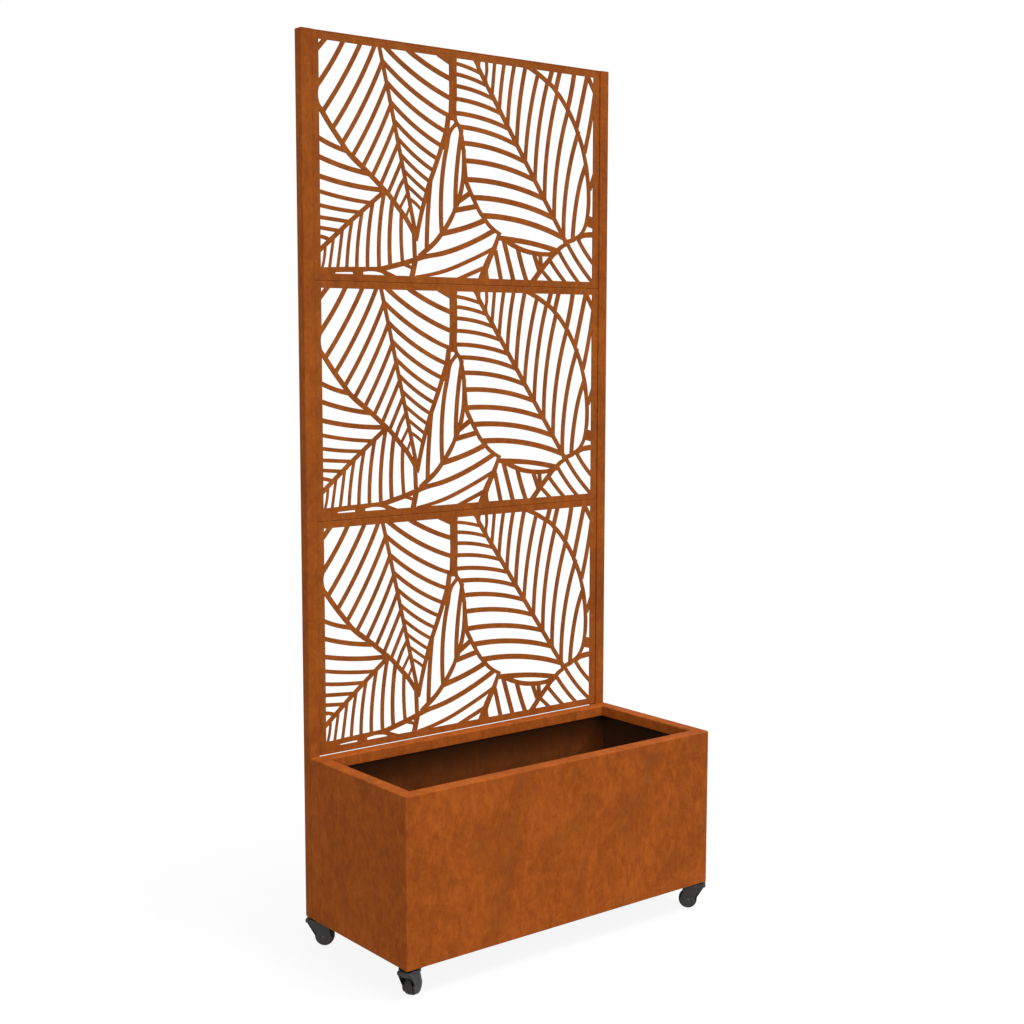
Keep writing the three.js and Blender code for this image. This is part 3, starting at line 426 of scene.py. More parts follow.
def joined(name, pieces):
    """One object from several meshes, each already in place."""
    edit = bmesh.new()
    for piece in pieces:
        edit.from_mesh(piece.data)
        old = piece.data
        bpy.data.objects.remove(piece)
        bpy.data.meshes.remove(old)
    mesh = bpy.data.meshes.new(name)
    edit.to_mesh(mesh)
    edit.free()
    made = bpy.data.objects.new(name, mesh)
    bpy.context.scene.collection.objects.link(made)
    return made


def arc(centre, radius, start, end, steps):
    """Points on a circle's arc, in degrees: centre + radius * (cos, sin)."""
    angle = np.radians(np.linspace(start, end, steps + 1))
    return np.array(centre) + radius * np.column_stack([np.cos(angle), np.sin(angle)])


def rounded_rectangle(width, depth, radius, steps=6):
    """A rectangle's outline round the origin with quarter-circle corners."""
    x, y = width / 2 - radius, depth / 2 - radius
    corners = [(x, y, 0), (-x, y, 90), (-x, -y, 180), (x, -y, 270)]
    return np.vstack([arc((cx, cy), radius, a, a + 90, steps) for cx, cy, a in corners])


def lofted(name, rings, cap_start=True, cap_end=True, wrap=False, **options):
    """A skin over rings of equal length, closed at each end by one flat face."""
    rings = np.asarray(rings, float)
    rows, columns = rings.shape[:2]
    faces = grid_quads(rows, columns, wrap_rows=wrap).tolist()
    if cap_start and not wrap:
        faces.append(list(range(columns))[::-1])
    if cap_end and not wrap:
        faces.append([(rows - 1) * columns + j for j in range(columns)])
    return piece_mesh(name, rings.reshape(-1, 3), faces, **options)


def turned(name, profile, place, sides=48, **options):
    """A profile of (radius, along) points turned about an axis.

    place is a function from local (x, y, along) to the object's own frame.
    """
    profile = np.asarray(profile, float)
    angle = np.linspace(0, 2 * np.pi, sides, endpoint=False)
    x = profile[:, :1] * np.cos(angle)
    y = profile[:, :1] * np.sin(angle)
    along = np.broadcast_to(profile[:, 1:], x.shape)
    rings = np.stack([x, y, along], axis=-1)
    points = place(rings.reshape(-1, 3)).reshape(rings.shape)
    closed = np.allclose(profile[0], profile[-1])
    if closed:
        points = points[:-1]
    on_axis = profile[0, 0] < 1e-9 and profile[-1, 0] < 1e-9
    return lofted(
        name, points, cap_start=not on_axis, cap_end=not on_axis, wrap=closed, **options
    )


print("mesh helpers ready")

# %% [markdown]
# ## The trough's four walls
#
# Each wall is one sheet, bent in at the top to make the rim and down again to make the lip. Its
# section is a line with rounded bends, given the sheet's thickness to both sides. That section
# is carried along the wall. At each end it runs halfway round the vertical corner, which has a
# small outer radius, and stops on the 45 degree mitre where the next wall takes over.

# %% The folded section
front_low, front_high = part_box("planter_front")
floor_low, floor_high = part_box("planter_floor")
SHEET = floor_low.y - front_low.y
TROUGH_BOTTOM, TROUGH_TOP = front_low.z, front_high.z
TROUGH_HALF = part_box("planter_right")[1].x
TROUGH_FRONT = front_low.y
TROUGH_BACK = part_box("planter_back")[1].y
RIM = front_high.y - front_low.y
LIP = 28 * MM
BEND = 1.2 * MM
CORNER = 3.5 * MM


def filleted(points, radius, steps=5):
    """A line through points with each inner corner replaced by an arc of one radius."""
    points = np.asarray(points, float)
    out = [points[0]]
    for before, corner, after in zip(points, points[1:], points[2:]):
        a = (before - corner) / np.linalg.norm(before - corner)
        b = (after - corner) / np.linalg.norm(after - corner)
        half = math.acos(np.clip(a @ b, -1, 1)) / 2
        run = radius / math.tan(half)
        centre = corner + (a + b) / np.linalg.norm(a + b) * radius / math.sin(half)
        start, end = corner + a * run - centre, corner + b * run - centre
        t = np.linspace(0, 1, steps + 1)[:, None]
        angle = math.acos(np.clip(start @ end / radius**2, -1, 1))
        turn = (np.sin((1 - t) * angle) * start + np.sin(t * angle) * end) / math.sin(angle)
        out.extend(centre + turn)
    out.append(points[-1])
    return np.array(out)


def strip_section(line, thickness, ease=0.35 * MM):
    """The closed outline of a bent strip: the line moved half the thickness to each side.

    The strip's two ends get a small chamfer, ease deep.
    """
    step = np.gradient(line, axis=0)
    normal = np.column_stack([-step[:, 1], step[:, 0]])
    normal /= np.linalg.norm(normal, axis=1)[:, None]
    sides = []
    for sign in (1, -1):
        side = line + sign * normal * thickness / 2
        head = line[0] + sign * normal[0] * (thickness / 2 - ease)
        tail = line[-1] + sign * normal[-1] * (thickness / 2 - ease)
        side[0] += (line[1] - line[0]) / np.linalg.norm(line[1] - line[0]) * ease
        side[-1] += (line[-2] - line[-1]) / np.linalg.norm(line[-2] - line[-1]) * ease
        sides.append(np.vstack([head, side, tail]))
    return np.vstack([sides[0], sides[1][::-1]])


half = SHEET / 2
wall_line = filleted(
    [
        (half, TROUGH_BOTTOM),
        (half, TROUGH_TOP - half),
        (RIM - half, TROUGH_TOP - half),
        (RIM - half, TROUGH_TOP - LIP),
    ],
    BEND + half,
)
wall_section = strip_section(wall_line, SHEET)
print("wall section of", len(wall_section), "points")


# %% Carry the section along each wall
def wall_points(length, plan, section, corner_steps=6):
    """The section at stations along a wall, as a grid.

    With d the distance inwards and R the corner's radius, a point at corner angle a lies
    max(R - d, 0) * sin(a) past the arc's start, so all of it that is deeper than R meets in
    one mitred edge.
    """
    angle = np.radians(np.linspace(0, 45, corner_steps + 1))
    d = section[:, 0][None, :]
    reach = np.maximum(CORNER - d, 0)
    along = length / 2 - np.maximum(d, CORNER) + reach * np.sin(angle)[:, None]
    inwards = np.where(d < CORNER, CORNER - reach * np.cos(angle)[:, None], d)
    along = np.vstack([-along[::-1], along])
    inwards = np.vstack([inwards[::-1], inwards])
    x, y = plan(along, inwards)
    z = np.broadcast_to(section[:, 1], x.shape)
    return np.stack([x, y, z], axis=-1)


middle_y = (TROUGH_FRONT + TROUGH_BACK) / 2
length, depth = 2 * TROUGH_HALF, TROUGH_BACK - TROUGH_FRONT
wall_plans = {
    "front": (length, lambda a, d: (a, TROUGH_FRONT + d)),
    "right": (depth, lambda a, d: (TROUGH_HALF - d, middle_y + a)),
    "back": (length, lambda a, d: (-a, TROUGH_BACK - d)),
    "left": (depth, lambda a, d: (-TROUGH_HALF + d, middle_y - a)),
}
for side, (run, plan) in wall_plans.items():
    wall = lofted(f"trough_wall_{side}", wall_points(run, plan, wall_section), smooth_below=50)
    rust = long_wall_rust_painted_shade if side in ("front", "back") else end_wall_rust_painted_shade
    finished(wall, rust, "planter", "weathering_steel", f"planter_{side}")
print("four walls, rim", round(RIM / MM, 1), "mm wide")

# %% [markdown]
# ## The two posts and their caps
#
# A post is a square steel tube with softly rounded corners. Its wall is a skin over four rings:
# outside bottom, outside top, inside top, inside bottom, and round to the first again. The cap
# is a thin plate with eased edges, so it is a stack of rounded squares that shrink at the top.

# %% Posts, caps and the top rail
POST_RADIUS = 2.2 * MM


def at_height(outline, z):
    """A flat outline as points at one height."""
    return np.column_stack([outline, np.full(len(outline), z)])


for side, sign in SIDES.items():
    post_low, post_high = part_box(f"post_{side}")
    cap_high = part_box(f"post_cap_{side}")[1]
    centre = np.array([(post_low.x + post_high.x) / 2, (post_low.y + post_high.y) / 2])
    size = post_high.x - post_low.x
    outer = rounded_rectangle(size, size, POST_RADIUS) + centre
    inner = rounded_rectangle(size - 4 * MM, size - 4 * MM, 0.8 * MM) + centre
    rings = [
        at_height(outer, post_low.z),
        at_height(outer, post_high.z - 0.15 * MM),
        at_height(inner, post_high.z - 0.15 * MM),
        at_height(inner, post_low.z),
    ]
    tube = lofted(f"post_tube_{side}", rings, wrap=True)
    finished(tube, post_rust, "planter", "weathering_steel", f"post_{side}")
    ease = 0.7 * MM
    shrink = rounded_rectangle(size - 2 * ease, size - 2 * ease, POST_RADIUS - ease) + centre
    halfway = rounded_rectangle(size - ease * 0.6, size - ease * 0.6, POST_RADIUS - ease * 0.3)
    cap_rings = [
        at_height(outer, post_high.z),
        at_height(outer, cap_high.z - ease),
        at_height(halfway + centre, cap_high.z - 0.3 * ease),
        at_height(shrink, cap_high.z),
    ]
    cap = lofted(f"post_top_{side}", cap_rings)
    finished(cap, post_rust, "planter", "weathering_steel", f"post_cap_{side}")

rail_low, rail_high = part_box("top_rail")
rail_size = rail_high - rail_low
rail_outline = rounded_rectangle(rail_size.y, rail_size.z, 0.6 * MM, steps=3)
rail_outline += np.array([(rail_low.y + rail_high.y) / 2, (rail_low.z + rail_high.z) / 2])
rail_rings = [np.column_stack([np.full(len(rail_outline), x), rail_outline])
              for x in (rail_low.x, rail_high.x)]
rail = lofted("rail_on_top", rail_rings)
finished(rail, post_rust, "planter", "weathering_steel", "top_rail")
print("posts", round(size / MM), "mm square, rail", round(rail_size.x, 3), "m long")

# %% [markdown]
# ## The trough's floor
#
# The floor is a plate between the walls with five round drain holes. Any laser-cut sheet is an
# outer outline with closed outlines of holes in it. A filled curve could hold them, but filling
# goes wrong where two holes come close, so the sheet is split into triangles by a Delaunay
# method instead. The same helper cuts the screen panels further down. The holes' places are
# read from the solid's own faces.

# %% Read outlines and cut a sheet
def flat_outlines(node, axis, side, up, across):
    """The closed outlines of a solid's flat outermost face, as (across, up) arrays.

    It takes the triangles that lie in that plane. An edge that only one of them has is part of
    an outline, and following such edges from end to end gives the loops. All are returned
    anticlockwise, by the sign of their area, and the widest comes first.
    """
    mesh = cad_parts[node].data
    mesh.calc_loop_triangles()
    corners = np.empty(len(mesh.loop_triangles) * 3, int)
    mesh.loop_triangles.foreach_get("vertices", corners)
    points = np.empty(len(mesh.vertices) * 3)
    mesh.vertices.foreach_get("co", points)
    points = points.reshape(-1, 3)
    level = points[:, axis].min() if side < 0 else points[:, axis].max()
    keys, same = np.unique(np.round(points / MICRON).astype(int), axis=0, return_inverse=True)
    where = keys * MICRON
    triangles = same.reshape(-1)[corners.reshape(-1, 3)]
    flat = np.all(np.abs(where[triangles][:, :, axis] - level) < 2 * MICRON, axis=1)
    edges = np.concatenate([triangles[flat][:, [0, 1]], triangles[flat][:, [1, 2]],
                            triangles[flat][:, [2, 0]]])
    size = len(where)
    code = edges[:, 0] * size + edges[:, 1]
    border = edges[~np.isin(code, edges[:, 1] * size + edges[:, 0])]
    follow = dict(border.tolist())
    outlines = []
    while follow:
        start, point = follow.popitem()
        loop = [start]
        while point != start:
            loop.append(point)
            point = follow.pop(point)
        outline = where[loop][:, [across, up]]
        ahead = np.roll(outline, -1, axis=0)
        area = (outline[:, 0] * ahead[:, 1] - outline[:, 1] * ahead[:, 0]).sum()
        outlines.append(outline if area > 0 else outline[::-1])
    return sorted(outlines, key=lambda loop: -np.ptp(loop, axis=0).prod())


def cut_sheet(outlines, thickness):
    """A sheet with holes as (x, y, z) points and faces: z runs from 0 to the thickness.

    The first outline is the sheet's edge and the others are its holes. The sheet is split into
    triangles that follow every outline, and those inside the edge alone are kept. Each side of
    a triangle that no other triangle shares becomes a wall through the thickness.
    """
    flat = np.vstack(outlines) / MM
    ends = np.cumsum([len(outline) for outline in outlines])
    loops = [list(range(end - len(o), end)) for end, o in zip(ends, outlines)]
    flat, _, triangles, _, _, inside = delaunay_2d_cdt(
        [Vector(point) for point in flat], [], loops, 1, 1e-4
    )
    flat = np.array(flat) * MM
    front = np.array([t for t, areas in zip(triangles, inside) if list(areas) == [0]])
    count = len(flat)
    sides = np.concatenate([front[:, [0, 1]], front[:, [1, 2]], front[:, [2, 0]]])
    alone = ~np.isin(sides[:, 0] * count + sides[:, 1], sides[:, 1] * count + sides[:, 0])
    start, end = sides[alone].T
    walls = np.column_stack([start, start + count, end + count, end])
    points = np.vstack([np.column_stack([flat, np.full(count, z)]) for z in (0, thickness)])
    return points, [*front[:, ::-1].tolist(), *(front + count).tolist(), *walls.tolist()]


def circle(centre, radius, sides=40):
    """A closed circle, as points."""
    return arc(centre, radius, 0, 360, sides)[:-1]


floor_outline, *drains = flat_outlines("planter_floor", axis=2, side=-1, up=1, across=0)
drain_circles = [circle(d.mean(axis=0), np.linalg.norm(d - d.mean(axis=0), axis=1).max())
                 for d in drains]
points, faces = cut_sheet([floor_outline, *drain_circles], floor_high.z - floor_low.z)
floor_plate = piece_mesh("trough_floor", points + (0, 0, floor_low.z), faces)
finished(floor_plate, floor_rust_painted_shade, "planter", "weathering_steel", "planter_floor")
print("floor with", len(drains), "drain holes")

# %% [markdown]
# ## The three laser-cut panels
#
# A panel is one sheet with the leaves cut out of it, and with its four edges folded back. The
# solid holds the cuts as short straight steps. Here each cut is made smooth again: where the
# outline turns sharply there is a real corner, and between two corners a smooth curve runs
# through the points. The folded edge is a profile with a rounded bend, carried round the sheet.

# %% Smooth the cut outlines
def smoothed(outline, corner=0.72, bend=22 * MM, steps=4):
    """A finer outline that keeps the sharp corners and rounds everything between them.

    On a curve drawn with straight steps, longer steps turn less. So a point is a corner when
    it turns by more than bend / (its longer side), in radians, or by more than corner. The
    tangent at any other point halves the turn, and each side becomes a cubic that leaves along
    the tangents at its two ends. At a corner, the tangent is the mirror image of the one at
    the side's other end.
    """
    before = outline - np.roll(outline, 1, axis=0)
    run_in = np.linalg.norm(before, axis=1)[:, None]
    unit_in = before / run_in
    run_out, unit_out = np.roll(run_in, -1, axis=0), np.roll(unit_in, -1, axis=0)
    turn = np.arccos(np.clip((unit_in * unit_out).sum(1, keepdims=True), -1, 1))
    sharp = turn > np.minimum(corner, bend / np.maximum(run_in, run_out))
    tangent = unit_in + unit_out
    tangent /= np.linalg.norm(tangent, axis=1)[:, None] + 1e-12
    ahead, sharp_ahead = np.roll(tangent, -1, axis=0), np.roll(sharp, -1, axis=0)
    mirrored_ahead = 2 * (ahead * unit_out).sum(1, keepdims=True) * unit_out - ahead
    mirrored_here = 2 * (tangent * unit_out).sum(1, keepdims=True) * unit_out - tangent
    leave = np.where(sharp, np.where(sharp_ahead, unit_out, mirrored_ahead), tangent)
    arrive = np.where(sharp_ahead, np.where(sharp, unit_out, mirrored_here), ahead)
    t = (np.arange(steps) / steps)[None, :, None]
    p, q = outline[:, None], np.roll(outline, -1, axis=0)[:, None]
    leave, arrive = (leave * run_out)[:, None], (arrive * run_out)[:, None]
    return (
        (2 * t**3 - 3 * t**2 + 1) * p
        + (t**3 - 2 * t**2 + t) * leave
        + (-2 * t**3 + 3 * t**2) * q
        + (t**3 - t**2) * arrive
    ).reshape(-1, 2)


panel_low, panel_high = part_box("screen_panel_lower")
sheet_outline, *cuts = flat_outlines("screen_panel_lower", axis=1, side=-1, up=2, across=0)
smooth_cuts = [smoothed(c) for c in cuts]
print(len(cuts), "openings,", sum(map(len, cuts)), "points made", sum(map(len, smooth_cuts)))

# %% Fold the edges and make the three panels
PANEL_SHEET = 3 * MM
PANEL_BEND = 1.5 * MM
INNER_BEND = 0.4 * MM
PANEL_FLAT = PANEL_SHEET + INNER_BEND  # from the panel's edge to where its sheet is flat


def folded_edge(low, high, depth):
    """The panel's bent edge: a profile of (inwards, back) at the four mitred corners."""
    outer = np.vstack([(PANEL_FLAT, 0), arc((PANEL_BEND, PANEL_BEND), PANEL_BEND, 270, 180, 5)])
    inner = arc((PANEL_FLAT, PANEL_FLAT), INNER_BEND, 180, 270, 3)
    end = np.array([[0, depth - 0.4 * MM], [0.4 * MM, depth],
                    [PANEL_SHEET - 0.4 * MM, depth], [PANEL_SHEET, depth - 0.4 * MM]])
    profile = np.vstack([outer, end, inner])
    inwards, back = profile[:, 0], profile[:, 1]
    x = np.array([low[0] + inwards, high[0] - inwards, high[0] - inwards, low[0] + inwards])
    z = np.array([low[1] + inwards, low[1] + inwards, high[1] - inwards, high[1] - inwards])
    return np.stack([x, np.broadcast_to(back, x.shape), z], axis=-1)


def panel_arrays():
    """Points and faces of the lower panel: the cut sheet and the folded edge round it."""
    low = np.array([panel_low.x, panel_low.z])
    high = np.array([panel_high.x, panel_high.z])
    inner_low, inner_high = low + PANEL_FLAT, high - PANEL_FLAT
    corners = [inner_low, (inner_high[0], inner_low[1]), inner_high, (inner_low[0], inner_high[1])]
    points, faces = cut_sheet([np.array(corners), *smooth_cuts], PANEL_SHEET)
    points = points[:, [0, 2, 1]]
    # the sheet's own outer walls go, because the folded edge takes over there
    away = np.abs(points[:, None, [0, 2]] - np.array([inner_low, inner_high]))
    on_rim = (away < MICRON).any(axis=(1, 2))
    sheet_faces = [f for f in faces if not (len(f) == 4 and all(on_rim[list(f)]))]
    edge = folded_edge(low, high, panel_high.y - panel_low.y)
    rows, columns = edge.shape[:2]
    edge_faces = grid_quads(rows, columns, wrap_rows=True, wrap_columns=False, first=len(points))
    points = np.vstack([points, edge.reshape(-1, 3)]) + (0, panel_low.y, 0)
    return points, sheet_faces + edge_faces.tolist()


panel_points, panel_faces = panel_arrays()
for level in ("lower", "middle", "upper"):
    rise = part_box(f"screen_panel_{level}")[0].z - panel_low.z
    panel = piece_mesh(f"cut_panel_{level}", panel_points + (0, 0, rise), panel_faces,
                       merge=2 * MICRON)
    finished(panel, screen_rust_painted_shade, "planter", "screen_steel", f"screen_panel_{level}")
    print(level, len(panel.data.polygons), "faces")

# %% [markdown]
# ## Bolts, nuts and screws
#
# The posts are held by hexagon bolts from inside the trough, driven into nuts in the posts, and
# the panels by button-head screws through their folded edges. A bolt's head has six flats and a
# chamfered face. It is a loft: rings of 48 points, where the ring's radius follows the hexagon,
# radius = flat / cos(angle to the nearest flat's middle), cut off at the chamfer's circle.

# %% Make the fasteners
def hexagon_rings(across, face, back, chamfer, points=48):
    """Rings of a hexagon head along z, from its chamfered face to its flat back."""
    angle = np.linspace(0, 2 * np.pi, points, endpoint=False)
    away = (angle + np.pi / 6) % (np.pi / 3) - np.pi / 6
    flat = across / 2 / np.cos(away)
    limit = across / 2 * 0.95
    radii = [np.minimum(flat, limit), np.minimum(flat, limit + 1.7 * chamfer), flat]
    step = np.sign(back - face)
    heights = [face, face + step * chamfer, face + step * 1.35 * chamfer]
    radii.append(flat)
    heights.append(back)
    return np.array([np.column_stack([r * np.cos(angle), r * np.sin(angle), np.full(points, h)])
                     for r, h in zip(radii, heights)])


def along_y(centre, sign=1):
    """A placing function: a piece made along z comes to lie along Y at a centre (x, z)."""
    return lambda p: np.column_stack([centre[0] + p[:, 0], sign * p[:, 2], centre[1] + p[:, 1]])


def put(name, rings, place, **options):
    """A lofted piece whose rings go through a placing function first."""
    shape = rings.shape
    return lofted(name, place(rings.reshape(-1, 3)).reshape(shape), **options)


BOLT_ACROSS, NUT_ACROSS = 13 * MM, 14 * MM
BOLT_HEAD = 5.5 * MM  # height, with the washer face under it
BOLT_SHANK, NUT_BORE = 4 * MM, 4.15 * MM  # radii
WASHER_RADIUS, WASHER_FACE = 6.5 * MM, 0.7 * MM
CHAMFER = 0.7 * MM
for side in SIDES:
    for level in ("lower", "upper"):
        name = f"{side}_{level}"
        low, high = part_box(f"post_bolt_{name}")
        placed = along_y(((low.x + high.x) / 2, (low.z + high.z) / 2))
        seat = low.y + BOLT_HEAD
        head_rings = hexagon_rings(BOLT_ACROSS, low.y, seat - 0.6 * MM, CHAMFER)
        head = put(f"head_{name}", head_rings, placed)
        shank_profile = [
            (0, seat - WASHER_FACE), (WASHER_RADIUS - 0.2 * MM, seat - WASHER_FACE),
            (WASHER_RADIUS, seat - 0.3 * MM), (WASHER_RADIUS, seat), (BOLT_SHANK, seat),
            (BOLT_SHANK, high.y - 0.8 * MM), (BOLT_SHANK - 0.8 * MM, high.y), (0, high.y),
        ]
        shank = turned(f"shank_{name}", shank_profile, placed, sides=32)
        finished(joined(f"hex_bolt_{name}", [head, shank]), zinc, "planter", "zinc_steel",
                 f"post_bolt_{name}")
        nut_low, nut_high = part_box(f"post_nut_{name}")
        rings = hexagon_rings(NUT_ACROSS, nut_high.y, nut_low.y, CHAMFER)
        bore = [np.column_stack([circle((0, 0), NUT_BORE, rings.shape[1]), ring[:, 2]])
                for ring in (rings[-1], rings[0])]
        nut = put(f"insert_nut_{name}", np.array([*rings, *bore]), placed, wrap=True)
        finished(nut, zinc, "planter", "zinc_steel", f"post_nut_{name}")

SCREW_HEAD = 3 * MM  # height of the domed head
screw_profile = np.array([
    (0, -3.0), (0.9, -2.98), (2.0, -2.8), (3.1, -2.35), (4.1, -1.6), (4.75, -0.85), (5.0, -0.3),
    (4.95, 0), (2.5, 0), (2.5, 11.2), (1.8, 12), (0, 12),
]) * MM
for level in ("lower", "middle", "upper"):
    for side, sign in SIDES.items():
        for place_name in ("low", "high"):
            node = f"screw_{level}_{side}_{place_name}"
            low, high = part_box(node)
            y, z = (low.y + high.y) / 2, (low.z + high.z) / 2
            seat = (low.x if sign > 0 else high.x) + sign * SCREW_HEAD
            screw = turned(
                f"button_{level}_{side}_{place_name}",
                screw_profile,
                lambda p: np.column_stack([seat + sign * p[:, 2], y + p[:, 0], z + p[:, 1]]),
                sides=24,
            )
            finished(screw, zinc, "planter", "zinc_steel", node)
print("4 bolts, 4 nuts, 12 screws")

# %% [markdown]
# ## Four swivel casters
#
# A caster hangs from a square plate. Its fork turns on a ball race under the plate: a crown with
# a squared nose, two cheeks that end in round discs, and a web between them over the wheel. The
# wheel trails behind the kingpin. Every shape is made once in the caster's own frame, with the
# swivel axis on z, the floor at 0 and the nose towards +x, and then turned and moved by numpy.

# %% Caster shapes
plate_low, plate_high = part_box("caster_front_right_top_plate")
CASTER_X, CASTER_Y = (plate_low.x + plate_high.x) / 2, -(plate_low.y + plate_high.y) / 2
PLATE_SIZE, PLATE_SHEET, PLATE_TOP = 46 * MM, 3 * MM, 75 * MM
FIXING_SPACING = 34 * MM
CROWN_BOTTOM, CROWN_TOP = 62.4 * MM, 70.4 * MM
CHEEK_MIDDLE, CHEEK_SHEET, CHEEK_RADIUS = 14.75 * MM, 4.5 * MM, 20.5 * MM
CHEEK_FRONT, CHEEK_BACK = 31 * MM, -20 * MM  # of its root, from the swivel axis
CHEEK_NECK = 382  # degrees, where the raked front edge leaves the disc
AXLE_AT = np.array([-12, 25]) * MM
GUARD_SHEET, GUARD_LENGTH, GUARD_HALF = 3 * MM, 14 * MM, 13.2 * MM
SWING = {"front_left": -16}  # degrees past its corner's direction that a caster rests turned


def eased(name, outline, bottom, top, ease, place, bevels=3):
    """A plate from an outline, with both edges rounded by a quarter circle.

    Each ring is the outline moved inwards along its own normals.
    """
    step = np.roll(outline, -1, axis=0) - np.roll(outline, 1, axis=0)
    normal = np.column_stack([-step[:, 1], step[:, 0]])
    normal /= np.linalg.norm(normal, axis=1)[:, None]
    angle = np.linspace(0, np.pi / 2, bevels + 1)
    inset = ease * (1 - np.sin(angle))
    lift = ease * (1 - np.cos(angle))
    levels = [(i, bottom + h) for i, h in zip(inset, lift)]
    levels += [(i, top - h) for i, h in zip(inset[::-1], lift[::-1])]
    rings = np.array([np.column_stack([outline + normal * i, np.full(len(outline), z)])
                      for i, z in levels])
    return put(name, rings, place)


def crown_outline():
    """From above: a disc that runs out to a nose with rounded corners, anticlockwise."""
    disc, reach, half, corner = 27 * MM, 36 * MM, 18 * MM, 5 * MM
    shoulder = math.degrees(math.asin(half / disc))
    return np.vstack([
        arc((0, 0), disc, shoulder, 360 - shoulder, 56),
        arc((reach - corner, corner - half), corner, -90, 0, 8),
        arc((reach - corner, half - corner), corner, 0, 90, 8),
    ])


def cheek_outline():
    """From the side: a disc round the axle, a tangent back edge and a raked front edge."""
    front, back = np.array([CHEEK_FRONT, CROWN_BOTTOM]), np.array([CHEEK_BACK, CROWN_BOTTOM])
    away = back - AXLE_AT
    tangent = math.atan2(away[1], away[0]) + math.acos(CHEEK_RADIUS / math.hypot(*away))
    disc = arc(AXLE_AT, CHEEK_RADIUS, math.degrees(tangent), CHEEK_NECK, 48)
    rise = np.array([0, 1.0 * MM])
    neck = filleted([disc[-2], disc[-1], front], 9 * MM, 6)[1:]
    straight = np.linspace(neck[-2], front, 6)[1:]
    return np.vstack([disc[:-1], neck[:-1], straight, front + rise, back + rise,
                      np.linspace(back, disc[0], 6)[:-1]])


print("crown", len(crown_outline()), "points, cheek", len(cheek_outline()), "points")

# %% [markdown]
# The tyre and the wheel's core are profiles turned round the axle, as a lathe would. The tyre
# has a softly crowned tread and rounded shoulders; the core has a rim, a web set in from both
# faces and a hub, with small radii where a mould needs them.

# %% Build one caster and place all four
def rounded_line(points, radius, steps=4):
    """A closed profile with every corner rounded, as an open line that ends where it starts."""
    ring = np.array(points, float)
    middle = (ring[0] + ring[-1]) / 2
    return filleted([middle, *ring, middle], radius, steps)


TYRE_OUT, TYRE_IN, FACE = 25 * MM, 19.1 * MM, 11 * MM
tread = np.linspace(-1, 1, 9)
tyre_line = np.vstack([
    [(TYRE_IN, -FACE + 0.5 * MM), (TYRE_IN + 0.5 * MM, -FACE)],
    arc((TYRE_OUT - 4.4 * MM, -FACE + 4 * MM), 4 * MM, -90, -8, 6),
    np.column_stack([TYRE_OUT - 0.3 * MM * tread**2, tread * 6.4 * MM])[1:-1],
    arc((TYRE_OUT - 4.4 * MM, FACE - 4 * MM), 4 * MM, 8, 90, 6),
    [(TYRE_IN + 0.5 * MM, FACE), (TYRE_IN, FACE - 0.5 * MM), (TYRE_IN, -FACE + 0.5 * MM)],
])
core_line = rounded_line(
    np.array([(19, -10), (15, -10), (15, -7), (8, -7), (8, -11), (3.4, -11),
              (3.4, 11), (8, 11), (8, 7), (15, 7), (15, 10), (19, 10)]) * MM, 0.6 * MM)
axle_line = np.array([(0, -18.6), (2.6, -18.4), (4.2, -18.0), (5, -17.4), (5, -17.1), (3, -17.1),
                      (3, 17.1), (5, 17.1), (5, 17.4), (4.2, 18.0), (2.6, 18.4), (0, 18.6)]) * MM
pin_line = np.array([(0, 59), (3.4, 59.1), (5.4, 59.8), (6.3, 60.8), (6.5, 61.6), (6.5, 62),
                     (4, 62), (4, 75), (0, 75)]) * MM
race_line = rounded_line(np.array([(0.1, 70.8), (17, 70.8), (17, 73), (0.1, 73)]) * MM, 0.4 * MM)
fixing_line = np.array([(0, 72.7), (1.2, 72.7), (1.5, 72.1), (4.1, 72.02), (2.6, 74.9),
                        (0, 74.9)]) * MM


def about_axle(p):
    """Turned shapes come round the axle: their own axis lies along y."""
    return np.column_stack([AXLE_AT[0] + p[:, 0], -p[:, 2], AXLE_AT[1] + p[:, 1]])


def upright(p):
    """Shapes made along z stay as they are."""
    return p


def across(p):
    """A plate drawn as (along, up) and made thick in z comes to stand across the fork in y."""
    return np.column_stack([p[:, 0], -p[:, 2], p[:, 1]])


neck = AXLE_AT + CHEEK_RADIUS * np.array([0.927, 0.375])  # 22 degrees above the axle
slope = np.array([CHEEK_FRONT, CROWN_BOTTOM]) - neck
slope /= np.linalg.norm(slope)
guard_top = np.array([CHEEK_FRONT - 0.5 * MM, CROWN_BOTTOM + 0.8 * MM])
guard_low = guard_top - slope * GUARD_LENGTH
guard_back = np.array([-slope[1], slope[0]]) * GUARD_SHEET
guard_line = rounded_line([guard_top, guard_top + guard_back, guard_low + guard_back, guard_low],
                          0.9 * MM)[:-1]


